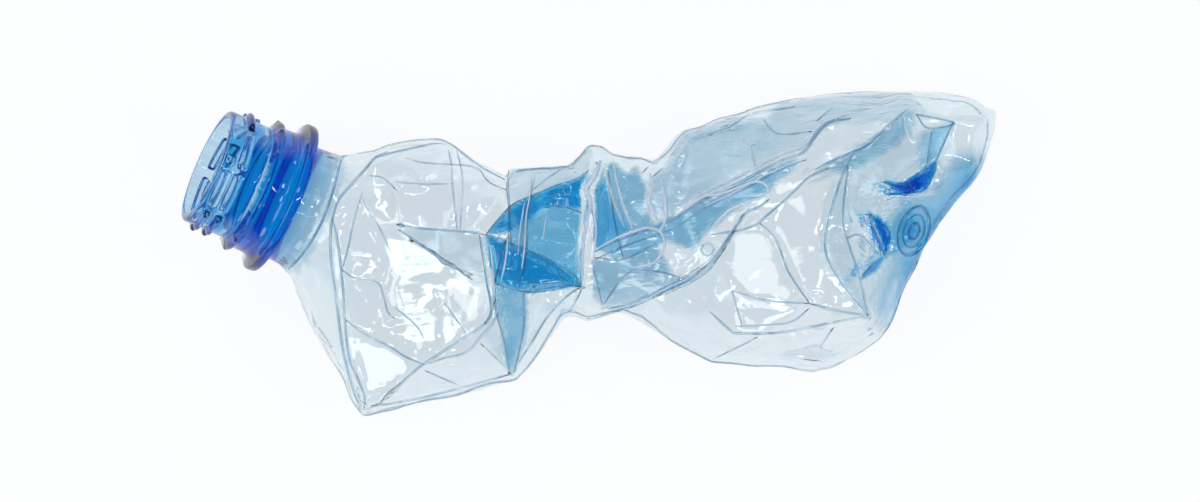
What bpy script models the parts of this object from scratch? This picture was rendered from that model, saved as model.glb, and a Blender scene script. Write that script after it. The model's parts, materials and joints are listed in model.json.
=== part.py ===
"""Crushed, empty half-litre water bottle, lying on its side with its mouth open.

The bottle is one blow-moulded piece of thin clear blue plastic.  Its neck finish is a thick
turned ring that kept its shape; everything below the neck was trodden flat and twisted, so it is
a thin wall of flat facets between sharp folds.  Lengths in the tables are millimetres:
X runs along the bottle towards its base, Y across it, Z up from the surface it lies on.
"""
import math

import bmesh
import bpy
import numpy as np
from mathutils import Matrix, Vector, geometry, noise

MM = 0.001
NAME = "bottle"

# Wall
WALL = 0.45
WALL_COLOUR = (0.62, 0.82, 0.95, 1.0)
WALL_ROUGHNESS = 0.08

# Neck finish, a 28 mm bottle finish turned about its own axis
RIM_RADIUS = 12.47
BORE_RADIUS = 10.87
BEAD_RADIUS = 14.4
WAIST_RADIUS = 13.6
COLLAR_RADIUS = 16.5
SKIRT_RADIUS = 13.05
TUBE_RADIUS = 12.75
RIM_HEIGHT = 17.0
BEAD_HEIGHT = 6.3
SKIRT_END = -8.0
SKIRT_LAP = 0.25
TUBE_END = -5.4
TUBE_LEAD = 4.0
NECK_SEGMENTS = 48
NECK_CENTRE = (-64.6, 11.9, 24.0)
NECK_TURN = math.radians(24.0)
NECK_RISE = math.radians(16.0)

# Spacing of the mesh
FOLD_STEP = 3.6
PANEL_STEP = 12.5
PANEL_ROW = PANEL_STEP * math.cos(math.radians(30.0))
PANEL_COLUMNS, PANEL_ROWS = 12, 4
EDGE_CLEAR = 1.0
POINT_CLEAR = 0.9
LAP_HALF = 1.1
MERGE = 0.02
SHARP_ANGLE = math.radians(30.0)

# The wall passes from the round neck tube to the flattened body over this stretch of the axis
SHOULDER_START = 7.0
SHOULDER_LENGTH = 16.0
# and folds fade out over this width at the bottle's edge
EDGE_FADE = 3.0
LAP_FADE = 3.0

# Unevenness of the trodden wall: size of the dents and how far they go in and out
DENT_SIZE = 11.0
DENT_DEPTH = 0.8
DENT_LAYER = 7.0
FACET_SIZE = 4.6
FACET_DEPTH = 0.15
FACET_LAYER = 3.0
NOISE_GAIN = 1.6
SHOULDER_INSET = 3.6
SEAM_DENT_SIZE = 15.0
SEAM_DENT_DEPTH = 2.4

# Along the bottle: x, height of the seam between front and back, how far the front
# and the back stand off that seam, and over what width they round towards it
STATIONS = (
    (-66.0, 23.0, 13.2, 13.2, 12.75),
    (-58.0, 21.5, 13.6, 13.6, 13.0),
    (-50.0, 19.5, 15.5, 17.5, 17.0),
    (-38.0, 18.5, 16.5, 19.0, 19.0),
    (-26.0, 17.5, 14.5, 16.0, 17.0),
    (-14.0, 17.0, 11.5, 10.5, 13.0),
    (-2.0, 16.0, 10.0, 8.5, 10.0),
    (10.0, 17.0, 10.0, 9.5, 11.0),
    (24.0, 19.0, 12.5, 15.0, 14.0),
    (38.0, 20.0, 16.0, 20.0, 18.0),
    (54.0, 20.5, 18.0, 21.0, 20.0),
    (66.0, 21.5, 15.0, 18.0, 17.0),
    (78.0, 23.5, 8.5, 11.0, 12.0),
    (86.0, 25.5, 5.0, 6.0, 9.0),
)

# The edge of the flattened bottle, from the neck to the base corner along its upper side
UPPER_EDGE = (
    (-53.0, 20.6), (-50.0, 21.2), (-45.0, 21.9), (-42.0, 23.0), (-38.0, 24.2), (-34.0, 24.7),
    (-31.0, 24.5), (-28.0, 22.8), (-24.0, 20.0), (-20.5, 18.1), (-17.6, 16.3), (-16.9, 18.3),
    (-12.0, 18.5), (-8.0, 18.8), (-4.5, 18.9), (-2.4, 21.0), (-0.2, 23.4), (2.6, 22.9),
    (5.2, 21.2), (7.8, 20.6), (11.0, 20.9), (13.5, 19.8), (15.4, 21.6), (17.6, 24.6),
    (20.0, 26.3), (23.0, 26.9), (26.5, 28.2), (30.0, 29.3), (35.0, 30.9), (40.0, 32.0),
    (45.5, 33.2), (50.0, 33.8), (55.0, 34.1), (61.0, 34.3), (67.0, 34.3), (74.0, 33.9),
    (80.0, 33.0), (83.2, 30.9), (85.2, 30.2),
)
# and back along its lower side
LOWER_EDGE = (
    (85.35, 28.6), (84.8, 24.6), (82.6, 18.4), (80.0, 14.2), (76.6, 10.4), (73.4, 6.4), (71.0, 2.0),
    (68.8, -2.2), (66.6, -6.4), (65.0, -10.4), (63.2, -14.6), (61.0, -18.0), (57.6, -20.3),
    (54.4, -22.0), (51.0, -23.9), (47.0, -24.7), (42.0, -23.9), (36.0, -23.5), (30.0, -23.4),
    (25.4, -23.0), (21.6, -20.9), (18.0, -18.8), (14.4, -16.6), (10.4, -14.0), (7.0, -12.3),
    (3.6, -13.1), (-0.7, -14.4), (-3.2, -13.0), (-5.2, -13.2), (-7.5, -17.0), (-10.0, -20.5),
    (-12.8, -23.9), (-15.2, -26.5), (-18.0, -27.4), (-21.5, -28.2), (-26.0, -29.7),
    (-31.0, -30.5), (-36.0, -31.4), (-40.5, -32.6), (-44.5, -33.4), (-47.7, -34.3),
    (-49.2, -31.4), (-51.0, -27.6), (-53.2, -23.2), (-56.0, -19.2), (-58.8, -14.6),
    (-61.2, -8.8), (-62.8, -4.6),
)

# Folds of the front: name, rise, reach, half-width of the raised pleat (0 for none), path
FRONT_FOLDS = (
    ("shoulder ridge", 3.2, 11.0, 0.8, (
        (-42.0, 21.4), (-44.4, 20.2), (-46.6, 17.4), (-49.4, 14.2), (-51.6, 11.4), (-52.9, 7.4),
        (-53.3, 2.0), (-52.6, -5.0), (-51.7, -12.0), (-51.0, -19.0), (-49.9, -25.0),
        (-48.5, -30.0), (-47.9, -32.8))),
    ("shoulder ridge, inner strand", 0.9, 2.2, 0.0, (
        (-50.4, 8.4), (-50.5, 2.0), (-49.9, -5.0), (-49.2, -12.0), (-48.6, -19.0),
        (-47.4, -25.0), (-46.4, -29.6))),
    ("upper rim crease", 1.4, 4.0, 0.0, (
        (-44.4, 20.2), (-40.0, 21.4), (-36.0, 22.3), (-32.0, 22.4), (-28.6, 20.6),
        (-24.0, 17.6), (-19.4, 14.4))),
    ("shoulder fan, steep", -1.8, 6.0, 0.0, (
        (-48.6, 13.2), (-45.6, 8.6), (-43.0, 5.0), (-41.0, 0.4), (-39.8, -6.0))),
    ("shoulder fan, flat", 1.3, 5.0, 0.0, (
        (-46.6, 17.4), (-43.0, 16.2), (-40.0, 13.6), (-34.0, 14.6), (-28.0, 14.7))),
    ("left panel crease", -2.0, 7.0, 0.0, (
        (-50.6, -3.2), (-47.4, -5.0), (-43.6, -6.2), (-42.2, -9.4), (-40.2, -13.2))),
    ("left panel spur", 1.4, 5.0, 0.0, ((-40.2, -11.0), (-35.8, -14.8), (-34.0, -18.4))),
    ("centre spur", -1.2, 5.0, 0.0, ((-31.0, -7.0), (-28.4, -12.0), (-25.6, -16.2))),
    ("lower facet edge", 2.2, 7.0, 0.0, (
        (-49.6, -13.4), (-45.6, -16.6), (-41.2, -19.0), (-37.4, -21.2), (-34.2, -22.9))),
    ("corner facet edge", -1.4, 5.0, 0.0, ((-46.6, -17.6), (-45.8, -23.6), (-45.0, -29.4))),
    ("long diagonal", 3.6, 9.0, 0.7, (
        (-45.4, -31.6), (-42.0, -29.4), (-38.6, -26.4), (-34.2, -22.9), (-28.6, -19.0),
        (-23.4, -15.8), (-20.6, -12.4))),
    ("long diagonal, second strand", 1.2, 2.4, 0.0, (
        (-31.0, -22.6), (-26.6, -21.2), (-23.8, -19.0), (-21.4, -16.0), (-18.8, -13.2))),
    ("bottom edge crease", 1.0, 3.0, 0.0, (
        (-41.0, -30.6), (-35.0, -29.2), (-30.0, -28.2), (-25.0, -26.9), (-20.0, -25.6),
        (-16.4, -24.6))),
    ("knot spur", 1.3, 4.0, 0.0, ((-22.4, -18.2), (-19.6, -21.2), (-16.4, -24.6))),
    ("bottom facet edge", -1.0, 4.0, 0.0, ((-33.6, -24.4), (-27.0, -26.6))),
    ("left edge nick", 0.9, 3.0, 0.0, ((-57.0, -14.4), (-54.6, -17.6), (-52.9, -20.4))),
    ("pointed flap, top", 2.0, 6.0, 0.0, (
        (-38.4, 7.0), (-34.0, 6.2), (-28.4, 5.4), (-22.8, 4.6), (-20.6, 5.0))),
    ("pointed flap, root", 1.4, 4.0, 0.0, ((-20.6, -12.4), (-19.8, -7.0))),
    ("flap left edge", 2.8, 7.0, 0.6, (
        (-16.9, 17.0), (-16.9, 13.4), (-16.5, 9.2), (-16.2, 4.6), (-17.4, 1.2), (-18.8, -3.0),
        (-19.8, -7.0))),
    ("flap left edge, branch", 1.2, 3.0, 0.0, ((-16.2, 4.6), (-15.7, 0.0), (-16.1, -4.4))),
    ("flap pleat", 1.5, 2.6, 0.0, (
        (-11.8, 16.6), (-12.2, 11.0), (-12.8, 4.0), (-13.6, -2.0), (-14.3, -6.8))),
    ("flap corner crease", 1.2, 3.0, 0.0, ((-11.4, 13.6), (-8.4, 15.8), (-5.2, 17.8))),
    ("band upper edge", 1.0, 3.2, 0.0, (
        (-20.6, 5.0), (-17.8, 8.2), (-14.8, 10.8), (-10.0, 12.8), (-5.0, 14.8), (-1.4, 16.6))),
    ("band lower edge", -1.3, 3.4, 0.0, ((-10.4, 9.8), (-6.0, 9.8), (-2.0, 8.4))),
    ("waist crease, upper", 1.7, 4.6, 0.0, (
        (-16.8, 2.4), (-12.4, 0.6), (-8.0, -1.4), (-4.6, -3.8), (-1.4, -6.8))),
    ("waist crease, lower", 2.2, 5.0, 0.0, (
        (-19.8, -7.0), (-14.3, -6.8), (-9.6, -7.6), (-5.4, -7.0), (-1.4, -6.8))),
    ("knot strip, left", 1.6, 3.4, 0.0, (
        (-19.8, -7.0), (-19.2, -12.0), (-18.0, -17.0), (-16.4, -24.6))),
    ("knot strip, right", 1.4, 3.2, 0.0, (
        (-14.3, -6.8), (-13.6, -12.0), (-13.9, -18.0), (-16.4, -24.6))),
    ("knot strip, bright edge", 1.3, 2.8, 0.0, (
        (-13.6, -21.4), (-11.6, -17.8), (-8.8, -13.4), (-5.4, -9.6), (-1.4, -6.8))),
    ("waist notch", -1.6, 3.0, 0.0, ((-1.4, -6.8), (-2.6, -9.6), (-3.4, -11.6))),
    ("twist, left tube", 3.2, 2.8, 0.5, (
        (2.0, 19.4), (1.0, 16.4), (-0.7, 13.5), (0.1, 10.2), (-0.7, 5.4), (-1.4, 1.4),
        (-1.7, -2.6), (-1.4, -6.8))),
    ("twist, right tube", 2.4, 2.2, 0.0, ((0.1, 10.2), (1.5, 6.0), (1.3, 1.6), (0.9, -2.6))),
    ("loop pleat", 2.2, 3.0, 0.0, (
        (5.0, 19.4), (5.6, 15.4), (6.6, 10.4), (8.6, 5.4))),
    ("loop valley", -1.6, 2.6, 0.0, ((3.4, 17.0), (4.2, 10.4), (4.8, 5.0))),
    ("short tube, left", 2.4, 2.0, 0.0, ((12.6, 17.4), (12.8, 14.4), (12.0, 11.0), (13.2, 7.8))),
    ("short tube, right", 2.4, 2.0, 0.0, ((15.2, 17.2), (15.6, 13.0), (15.8, 9.0))),
    ("long crease", 3.0, 6.5, 0.8, (
        (0.9, 0.2), (6.2, 3.0), (12.0, 5.2), (18.0, 7.7), (23.2, 11.0), (29.6, 14.2),
        (35.6, 17.4), (41.0, 19.9), (44.6, 21.6), (46.6, 24.4), (49.4, 27.0), (54.0, 28.0),
        (60.0, 28.6))),
    ("first loop", 1.7, 2.2, 0.0, (
        (12.0, 5.2), (14.8, 3.2), (14.6, 0.4), (12.0, -2.2), (8.8, -3.0))),
    ("first loop, inner", 1.4, 2.2, 0.0, ((1.4, -1.8), (6.4, -1.0), (11.0, 1.4))),
    ("second loop", 1.7, 2.2, 0.0, (
        (23.2, 11.0), (28.6, 12.2), (34.0, 14.4), (36.8, 12.9), (32.6, 10.8), (28.4, 8.2),
        (24.8, 4.8), (22.0, 1.4))),
    ("triangle edge, left", 1.4, 3.0, 0.0, ((-1.4, -6.8), (0.8, -9.4), (2.9, -11.0))),
    ("triangle edge, right", 1.4, 3.0, 0.0, (
        (2.9, -11.0), (5.4, -7.4), (8.8, -4.8), (13.0, -4.2), (16.8, -3.6))),
    ("upper lobe crease", 1.1, 4.0, 0.0, (
        (24.6, 24.6), (29.6, 26.6), (34.6, 28.8), (41.0, 30.2))),
    ("upper lobe spur", 1.2, 4.0, 0.0, ((36.4, 27.4), (39.4, 25.0), (43.4, 25.0))),
    ("upper corner crease", 1.2, 4.0, 0.0, ((46.6, 24.4), (50.6, 30.6))),
    ("upper panel stroke", 1.0, 4.0, 0.0, ((33.3, 23.2), (34.4, 19.2))),
    ("strip lower edge", 2.6, 6.0, 0.6, (
        (33.0, 4.4), (36.8, 7.6), (40.2, 10.8), (43.4, 14.0), (46.6, 17.4))),
    ("dark crease", 3.2, 8.0, 0.7, (
        (46.6, 17.4), (52.2, 20.2), (57.0, 22.4), (61.2, 26.2), (65.4, 29.9))),
    ("end panel ridge", 2.3, 6.0, 0.6, (
        (52.2, 20.2), (51.2, 14.6), (49.6, 8.0), (48.8, 1.6), (50.2, -3.4), (53.4, -8.0),
        (57.2, -12.6))),
    ("end panel ridge, strand", 1.3, 2.4, 0.0, (
        (54.0, 17.0), (53.0, 10.0), (53.2, 4.0), (54.8, -2.6), (57.2, -12.6))),
    ("end panel crease", -1.6, 4.0, 0.0, ((53.2, 4.0), (56.6, 3.8), (60.0, 0.6))),
    ("lower panel crease", 2.2, 6.0, 0.5, (
        (35.0, 6.4), (38.6, 2.8), (41.0, -3.4), (45.0, -10.0))),
    ("lower panel strap", 2.6, 5.0, 0.6, ((45.0, -10.0), (51.0, -11.6), (57.2, -12.6))),
    ("lower panel tail", 1.6, 4.0, 0.0, (
        (45.0, -10.0), (41.0, -13.6), (35.6, -14.2), (30.8, -14.4))),
    ("bottom crease", 2.5, 6.0, 0.6, (
        (24.8, -11.8), (27.8, -14.8), (31.0, -16.9), (36.0, -17.0), (42.0, -16.4),
        (50.0, -14.6), (57.2, -12.6))),
    ("facet ray, down", 1.5, 5.0, 0.0, ((29.6, -7.4), (30.4, -11.2), (30.8, -14.4))),
    ("facet ray, across", 1.5, 5.0, 0.0, ((29.6, -7.4), (37.2, -9.4), (45.0, -10.0))),
    ("facet ray, up", 1.5, 5.0, 0.0, (
        (29.6, -7.4), (31.4, -2.0), (35.4, -4.6), (37.2, -9.4))),
    ("bottom bow", 1.2, 4.0, 0.0, ((50.0, -14.6), (49.4, -17.4), (47.8, -20.6))),
    ("bottom spur", 1.2, 4.0, 0.0, ((35.0, -17.8), (30.4, -20.0), (26.6, -21.6))),
    ("upper crescent", -2.8, 3.6, 0.0, (
        (60.6, 15.4), (65.2, 14.8), (68.6, 16.8), (71.4, 19.6))),
    ("upper crescent, lip", 1.4, 2.6, 0.0, (
        (61.6, 12.4), (66.0, 12.2), (69.8, 13.8), (72.6, 17.2))),
    ("middle crescent", -2.6, 3.4, 0.0, ((57.8, 8.4), (60.4, 6.2), (61.4, 3.4), (60.8, 0.4))),
    ("lower crescent", -2.0, 3.2, 0.0, ((56.2, -4.4), (58.6, -2.8), (61.0, -1.6))),
    ("base strap", 1.5, 4.0, 0.0, ((71.4, 19.6), (72.0, 24.0), (72.4, 27.8))),
    ("base strap, edge", -1.3, 3.0, 0.0, ((74.0, 20.6), (75.4, 24.4), (76.4, 28.0))),
    ("base corner fan", 1.3, 4.0, 0.0, ((65.4, 29.9), (70.0, 29.6), (76.4, 28.0), (82.4, 28.4))),
    ("base corner ray", 1.2, 4.0, 0.0, ((76.4, 28.0), (79.4, 23.4), (80.4, 18.6))),
)

# Folds that lap over: name, rise, reach, overlap, path with the raised side on its left
FRONT_LAPS = (
    ("pointed flap", 3.2, 10.0, 0.9, (
        (-22.4, -8.4), (-23.6, -5.4), (-27.0, -3.2), (-31.0, -0.6), (-35.2, 2.2), (-39.4, 5.4))),
    ("front flap", 4.2, 13.0, 1.3, (
        (-0.6, -12.6), (4.6, -11.2), (10.4, -9.6), (16.0, -7.4), (21.0, -5.0), (24.8, -2.4),
        (27.8, 1.2), (30.6, 6.2), (33.2, 9.6), (36.8, 12.0))),
)

# Folds of the hidden side, plain ones
BACK_FOLDS = (
    ("shoulder ridge", 2.0, 10.0, 0.0, (
        (-46.0, 18.6), (-51.4, 9.0), (-53.0, -3.0), (-51.0, -16.0), (-48.6, -28.6))),
    ("upper crease", 1.5, 6.0, 0.0, ((-40.0, 15.6), (-33.0, 17.4), (-24.0, 16.4), (-18.0, 12.4))),
    ("band, left", 1.3, 4.0, 0.0, (
        (-29.8, 21.6), (-28.6, 15.0), (-27.6, 8.0), (-26.6, -2.0), (-24.6, -12.0))),
    ("shoulder star", 2.0, 8.0, 0.0, (
        (-51.4, -3.4), (-46.0, -16.0), (-38.0, -21.0), (-26.0, -25.4))),
    ("shoulder ray", 1.4, 6.0, 0.0, ((-51.8, 6.0), (-46.0, 10.6), (-40.0, 15.6))),
    ("waist diagonal", 2.0, 7.0, 0.0, (
        (-24.6, -12.0), (-16.0, -6.0), (-8.0, 1.0), (2.0, 7.0), (12.0, 14.0), (20.0, 22.0))),
    ("waist strap", 1.6, 5.0, 0.0, (
        (-14.0, 15.0), (-10.0, 6.0), (-8.0, 1.0), (-9.4, -8.0), (-13.6, -19.0))),
    ("waist cross", 1.6, 5.0, 0.0, ((2.0, 18.0), (2.0, 7.0), (4.0, -3.0), (2.0, -10.6))),
    ("lower lobe crease", 1.8, 7.0, 0.0, (
        (4.0, -3.0), (14.0, -7.0), (24.0, -13.0), (32.0, -20.0))),
    ("upper lobe crease", 1.8, 7.0, 0.0, (
        (20.0, 22.0), (30.0, 23.6), (42.0, 25.6), (58.0, 26.0), (74.0, 29.0))),
    ("lobe diagonal", 1.6, 6.0, 0.0, (
        (12.0, 14.0), (22.0, 8.0), (30.0, -2.0), (38.0, -14.0), (46.0, -20.6))),
    ("lower end crease", 1.8, 6.0, 0.0, ((38.0, -14.0), (52.0, -14.6), (60.0, -10.0))),
    ("base ridge", 2.2, 7.0, 0.0, ((58.0, 26.0), (64.6, 14.0), (64.0, 2.0), (60.0, -10.0))),
    ("base ray", 1.4, 5.0, 0.0, ((64.6, 14.0), (73.0, 14.6), (79.0, 19.6))),
)

# Flattened spots that the bottle lies on, as corners of level facets on the hidden side
FEET = (
    ((-45.0, 1.0), (-31.0, 5.0), (-37.0, -13.0)),
    ((42.0, 15.0), (58.0, 13.0), (50.0, -7.0)),
)
FOOT_CLEARANCE = 0.5


def smoothstep(value):
    """0 below 0, 1 above 1, and an even slope between."""
    value = np.clip(value, 0.0, 1.0)
    return value * value * (3.0 - 2.0 * value)


def neck_axes():
    """The neck's centre, its axis towards the mouth, and its level and raised cross directions."""
    centre = Vector(NECK_CENTRE)
    level = Vector((math.sin(NECK_TURN), math.cos(NECK_TURN), 0.0))
    axis = Vector((
        -math.cos(NECK_TURN) * math.cos(NECK_RISE),
        math.sin(NECK_TURN) * math.cos(NECK_RISE),
        math.sin(NECK_RISE)))
    return centre, axis, level, level.cross(axis)


def neck_arc(side):
    """Half of the tube's end circle, from its upper edge to its lower edge over one side."""
    centre, axis, level, raised = neck_axes()
    end = centre + axis * TUBE_END
    half = NECK_SEGMENTS // 2
    arc = []
    for index in range(half + 1):
        turn = math.pi * index / half
        arc.append(end + (level * math.cos(turn) + raised * math.sin(turn) * side) * TUBE_RADIUS)
    return arc


def path_distances(points, path):
    """Distance of each point from a path, its side (left is +1) and its place along it, 0 to 1."""
    path = np.asarray(path, dtype=float)
    runs = np.linalg.norm(np.diff(path, axis=0), axis=1)
    starts = np.concatenate(([0.0], np.cumsum(runs)))
    best = np.full(len(points), np.inf)
    side = np.ones(len(points))
    place = np.zeros(len(points))
    normal = np.zeros((len(points), 2))
    for index, run in enumerate(runs):
        direction = (path[index + 1] - path[index]) / run
        offset = points - path[index]
        along = np.clip(offset @ direction, 0.0, run)
        across = offset - along[:, None] * direction
        distance = np.linalg.norm(across, axis=1)
        nearer = distance < best - 1e-9
        best = np.where(nearer, distance, best)
        turn = direction[0] * offset[:, 1] - direction[1] * offset[:, 0]
        side = np.where(nearer, np.where(turn >= 0.0, 1.0, -1.0), side)
        place = np.where(nearer, (starts[index] + along) / starts[-1], place)
        left = np.array((-direction[1], direction[0]))
        normal = np.where(nearer[:, None], left, normal)
    return best, side, place, normal


def edge_chains():
    """The upper and lower edges, each carried on along the neck tube."""
    centre, axis, level, _ = neck_axes()
    chains = []
    for sign, chain in ((1.0, UPPER_EDGE), (-1.0, LOWER_EDGE[::-1])):
        tube = []
        for height in (TUBE_LEAD, TUBE_END):
            point = centre + axis * height + level * (sign * TUBE_RADIUS)
            tube.append((point.x, point.y))
        chains.append(tube + list(chain))
    chains[0] += [LOWER_EDGE[0]]
    return chains


def inset_from_edge(points):
    """How far inside the bottle's edge each point lies."""
    return np.min([path_distances(points, chain)[0] for chain in edge_chains()], axis=0)


def dents(points, size, level):
    """Smooth uneven values between about -1 and 1, the same ones each time."""
    return np.array([noise.noise(Vector((x / size, y / size, level))) * NOISE_GAIN for x, y in points])


def station_values(points):
    """Seam height, front and back stand-off and rounding width at each point."""
    table = np.array(STATIONS)
    middle, front, back, rounding = (
        np.interp(points[:, 0], table[:, 0], table[:, column]) for column in range(1, 5))
    centre, axis, _, _ = neck_axes()
    towards_mouth = np.array((axis.x, axis.y)) / math.cos(NECK_RISE)
    along = (points - np.array((centre.x, centre.y))) @ towards_mouth
    on_axis = centre.z + along * math.tan(NECK_RISE)
    body = smoothstep((-along - SHOULDER_START) / SHOULDER_LENGTH)
    middle += SEAM_DENT_DEPTH * dents(points, SEAM_DENT_SIZE, 0.0)
    middle = on_axis * (1.0 - body) + middle * body
    return middle, front, back, rounding, body


def inside_polygon(points, corners):
    """Which points lie inside or on a convex polygon."""
    corners = np.asarray(corners, dtype=float)
    sides = []
    for start, end in zip(np.roll(corners, 1, axis=0), corners):
        run = end - start
        offset = points - start
        sides.append(run[0] * offset[:, 1] - run[1] * offset[:, 0])
    return np.all(np.array(sides) >= -1e-6, axis=0) | np.all(np.array(sides) <= 1e-6, axis=0)


def lift(points, side):
    """Where each point of the flat pattern lies on the front (side 1) or the back (side -1)."""
    inset = inset_from_edge(points)
    middle, front, back, rounding, body = station_values(points)
    depth = front if side > 0 else back
    swell = np.sqrt(1.0 - (1.0 - np.clip(inset / rounding, 0.0, 1.0)) ** 2)
    height = middle + side * depth * swell
    hold = np.clip(inset / EDGE_FADE, 0.0, 1.0) * body
    height += side * DENT_DEPTH * dents(points, DENT_SIZE, DENT_LAYER * side) * hold
    height += side * FACET_DEPTH * dents(points, FACET_SIZE, FACET_LAYER * side) * hold
    for _, rise, reach, _, path in (FRONT_FOLDS if side > 0 else BACK_FOLDS):
        distance = path_distances(points, path)[0]
        height += side * rise * np.clip(1.0 - distance / reach, 0.0, 1.0) * hold
    spread = points.copy()
    if side > 0:
        for _, rise, reach, overlap, path in FRONT_LAPS:
            distance, left, place, normal = path_distances(points, path)
            ends = np.sqrt(np.sin(np.pi * np.clip(place, 0.0, 1.0))) * hold
            beyond = np.maximum(distance - LAP_HALF, 0.0)
            across = left * np.minimum(distance / LAP_HALF, 1.0)
            raised = 0.5 * (across + 1.0) * np.clip(1.0 - beyond / reach, 0.0, 1.0)
            height += rise * ends * raised
            travel = LAP_HALF + overlap
            pull = across * np.clip(1.0 - beyond / (LAP_FADE * travel), 0.0, 1.0) * travel * ends ** 2
            spread -= normal * pull[:, None]
    else:
        height = np.maximum(height, FOOT_CLEARANCE)
        for foot in FEET:
            height = np.where(inside_polygon(points, foot), 0.0, height)
    return np.column_stack((spread, height))


def resampled(path, step):
    """The path's own corners, with more points between them where they are far apart."""
    points = [path[0]]
    for start, end in zip(path, path[1:]):
        count = max(1, round(math.dist(start, end) / step))
        for index in range(1, count + 1):
            part = index / count
            points.append((start[0] + (end[0] - start[0]) * part, start[1] + (end[1] - start[1]) * part))
    return points


def parallel(points, offset):
    """A row of points beside a path."""
    rows = []
    for index in range(1, len(points) - 1):
        before, after = points[index - 1], points[index + 1]
        run = math.dist(before, after)
        normal = (-(after[1] - before[1]) / run, (after[0] - before[0]) / run)
        rows.append((points[index][0] + normal[0] * offset, points[index][1] + normal[1] * offset))
    return rows


class Pattern:
    """Flat pattern of one side: its outline, fold lines and loose panel points."""

    def __init__(self, side):
        self.side = side
        arc = neck_arc(side)
        self.arc = dict(enumerate(reversed(arc)))
        self.outline = [(point.x, point.y) for point in self.arc.values()]
        self.outline += UPPER_EDGE + LOWER_EDGE
        self.points = list(self.outline)
        count = len(self.outline)
        self.edges = [(index, (index + 1) % count) for index in range(count)]

    def from_edge(self, points):
        """How far points lie from the outline."""
        return path_distances(np.asarray(points), self.outline + self.outline[:1])[0]

    def has_room(self, point, distance):
        """Whether a point keeps its distance from the outline and from every point already placed."""
        gaps = np.linalg.norm(np.asarray(self.points) - np.asarray(point), axis=1)
        return self.from_edge([point])[0] > EDGE_CLEAR and np.min(gaps) >= distance

    def add_fold(self, path, rows):
        """A fold line with its own points joined by edges, and loose rows beside it."""
        points = resampled(path, FOLD_STEP)
        previous = None
        for point, inset in zip(points, self.from_edge(points)):
            if inset <= EDGE_CLEAR:
                previous = None
                continue
            gaps = np.linalg.norm(np.asarray(self.points) - np.asarray(point), axis=1)
            nearest = int(np.argmin(gaps))
            if gaps[nearest] < POINT_CLEAR:
                current = nearest if nearest >= len(self.outline) else None
            else:
                current = len(self.points)
                self.points.append(point)
            if previous is not None and current is not None and previous != current:
                self.edges.append((previous, current))
            previous = current
        return [row for offset in rows for row in parallel(points, offset)]

    def add_loose(self, points, distance):
        """Points with no fold of their own, where there is room for them."""
        for point in points:
            if self.has_room(point, distance):
                self.points.append(tuple(point))

    def triangles(self):
        """The pattern cut into triangles along every fold line."""
        coordinates = [Vector(point) for point in self.points]
        result = geometry.delaunay_2d_cdt(coordinates, self.edges, [], 1, 0.01)
        points, faces, origins = result[0], result[2], result[3]
        flat = np.array([(point.x, point.y) for point in points])
        solid = lift(flat, self.side)
        for index, origin in enumerate(origins):
            for source in origin:
                if source in self.arc:
                    solid[index] = self.arc[source]
        return solid, faces


def panel_points():
    """An even triangular grid over the bottle, one row every PANEL_STEP."""
    points = []
    for row in range(-PANEL_ROWS, PANEL_ROWS + 1):
        for column in range(-PANEL_COLUMNS, PANEL_COLUMNS + 1):
            points.append(((column + 0.5 * (row % 2)) * PANEL_STEP, row * PANEL_ROW))
    return points


def shoulder_points(outline):
    """A row just inside the edge, beside every second corner of the outline."""
    points = []
    for index in range(0, len(outline), 2):
        before, here, after = outline[index - 1], outline[index], outline[(index + 1) % len(outline)]
        run = math.dist(before, after)
        inward = ((after[1] - before[1]) / run, -(after[0] - before[0]) / run)
        points.append((here[0] + inward[0] * SHOULDER_INSET, here[1] + inward[1] * SHOULDER_INSET))
    return inside_outline(points, outline)


def inside_outline(points, outline):
    """Those of the points that lie inside the outline."""
    kept = []
    for x, y in points:
        inside = False
        for (x0, y0), (x1, y1) in zip(outline, outline[1:] + outline[:1]):
            if (y0 > y) != (y1 > y) and x < (x1 - x0) * (y - y0) / (y1 - y0) + x0:
                inside = not inside
        if inside:
            kept.append((x, y))
    return kept


def build_pattern(side):
    """The whole flat pattern of the front (1) or the back (-1)."""
    pattern = Pattern(side)
    loose = []
    if side > 0:
        for *_, path in FRONT_LAPS:
            pattern.add_fold(path, ())
            for offset in (LAP_HALF, -LAP_HALF):
                loose += parallel(resampled(path, FOLD_STEP), offset)
        for _, _, _, pleat, path in FRONT_FOLDS:
            loose += pattern.add_fold(path, (pleat * 2.0, -pleat * 2.0) if pleat else ())
    else:
        for foot in FEET:
            pattern.add_fold(foot + foot[:1], ())
        for *_, path in BACK_FOLDS:
            pattern.add_fold(path, ())
    pattern.add_loose(loose, POINT_CLEAR)
    pattern.add_loose(shoulder_points(pattern.outline), SHOULDER_INSET * 0.7)
    pattern.add_loose(inside_outline(panel_points(), pattern.outline), PANEL_STEP * 0.5)
    return pattern


def crumpled_skin():
    """The outer skin below the neck: front and back joined along the bottle's edge."""
    mesh = bmesh.new()
    for side in (1, -1):
        solid, faces = build_pattern(side).triangles()
        verts = [mesh.verts.new(Vector(point) * MM) for point in solid]
        for face in faces:
            corners = [verts[index] for index in face]
            mesh.faces.new(corners if side > 0 else corners[::-1])
    bmesh.ops.remove_doubles(mesh, verts=mesh.verts, dist=MERGE * MM)
    bmesh.ops.recalc_face_normals(mesh, faces=mesh.faces)
    return mesh


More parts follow.
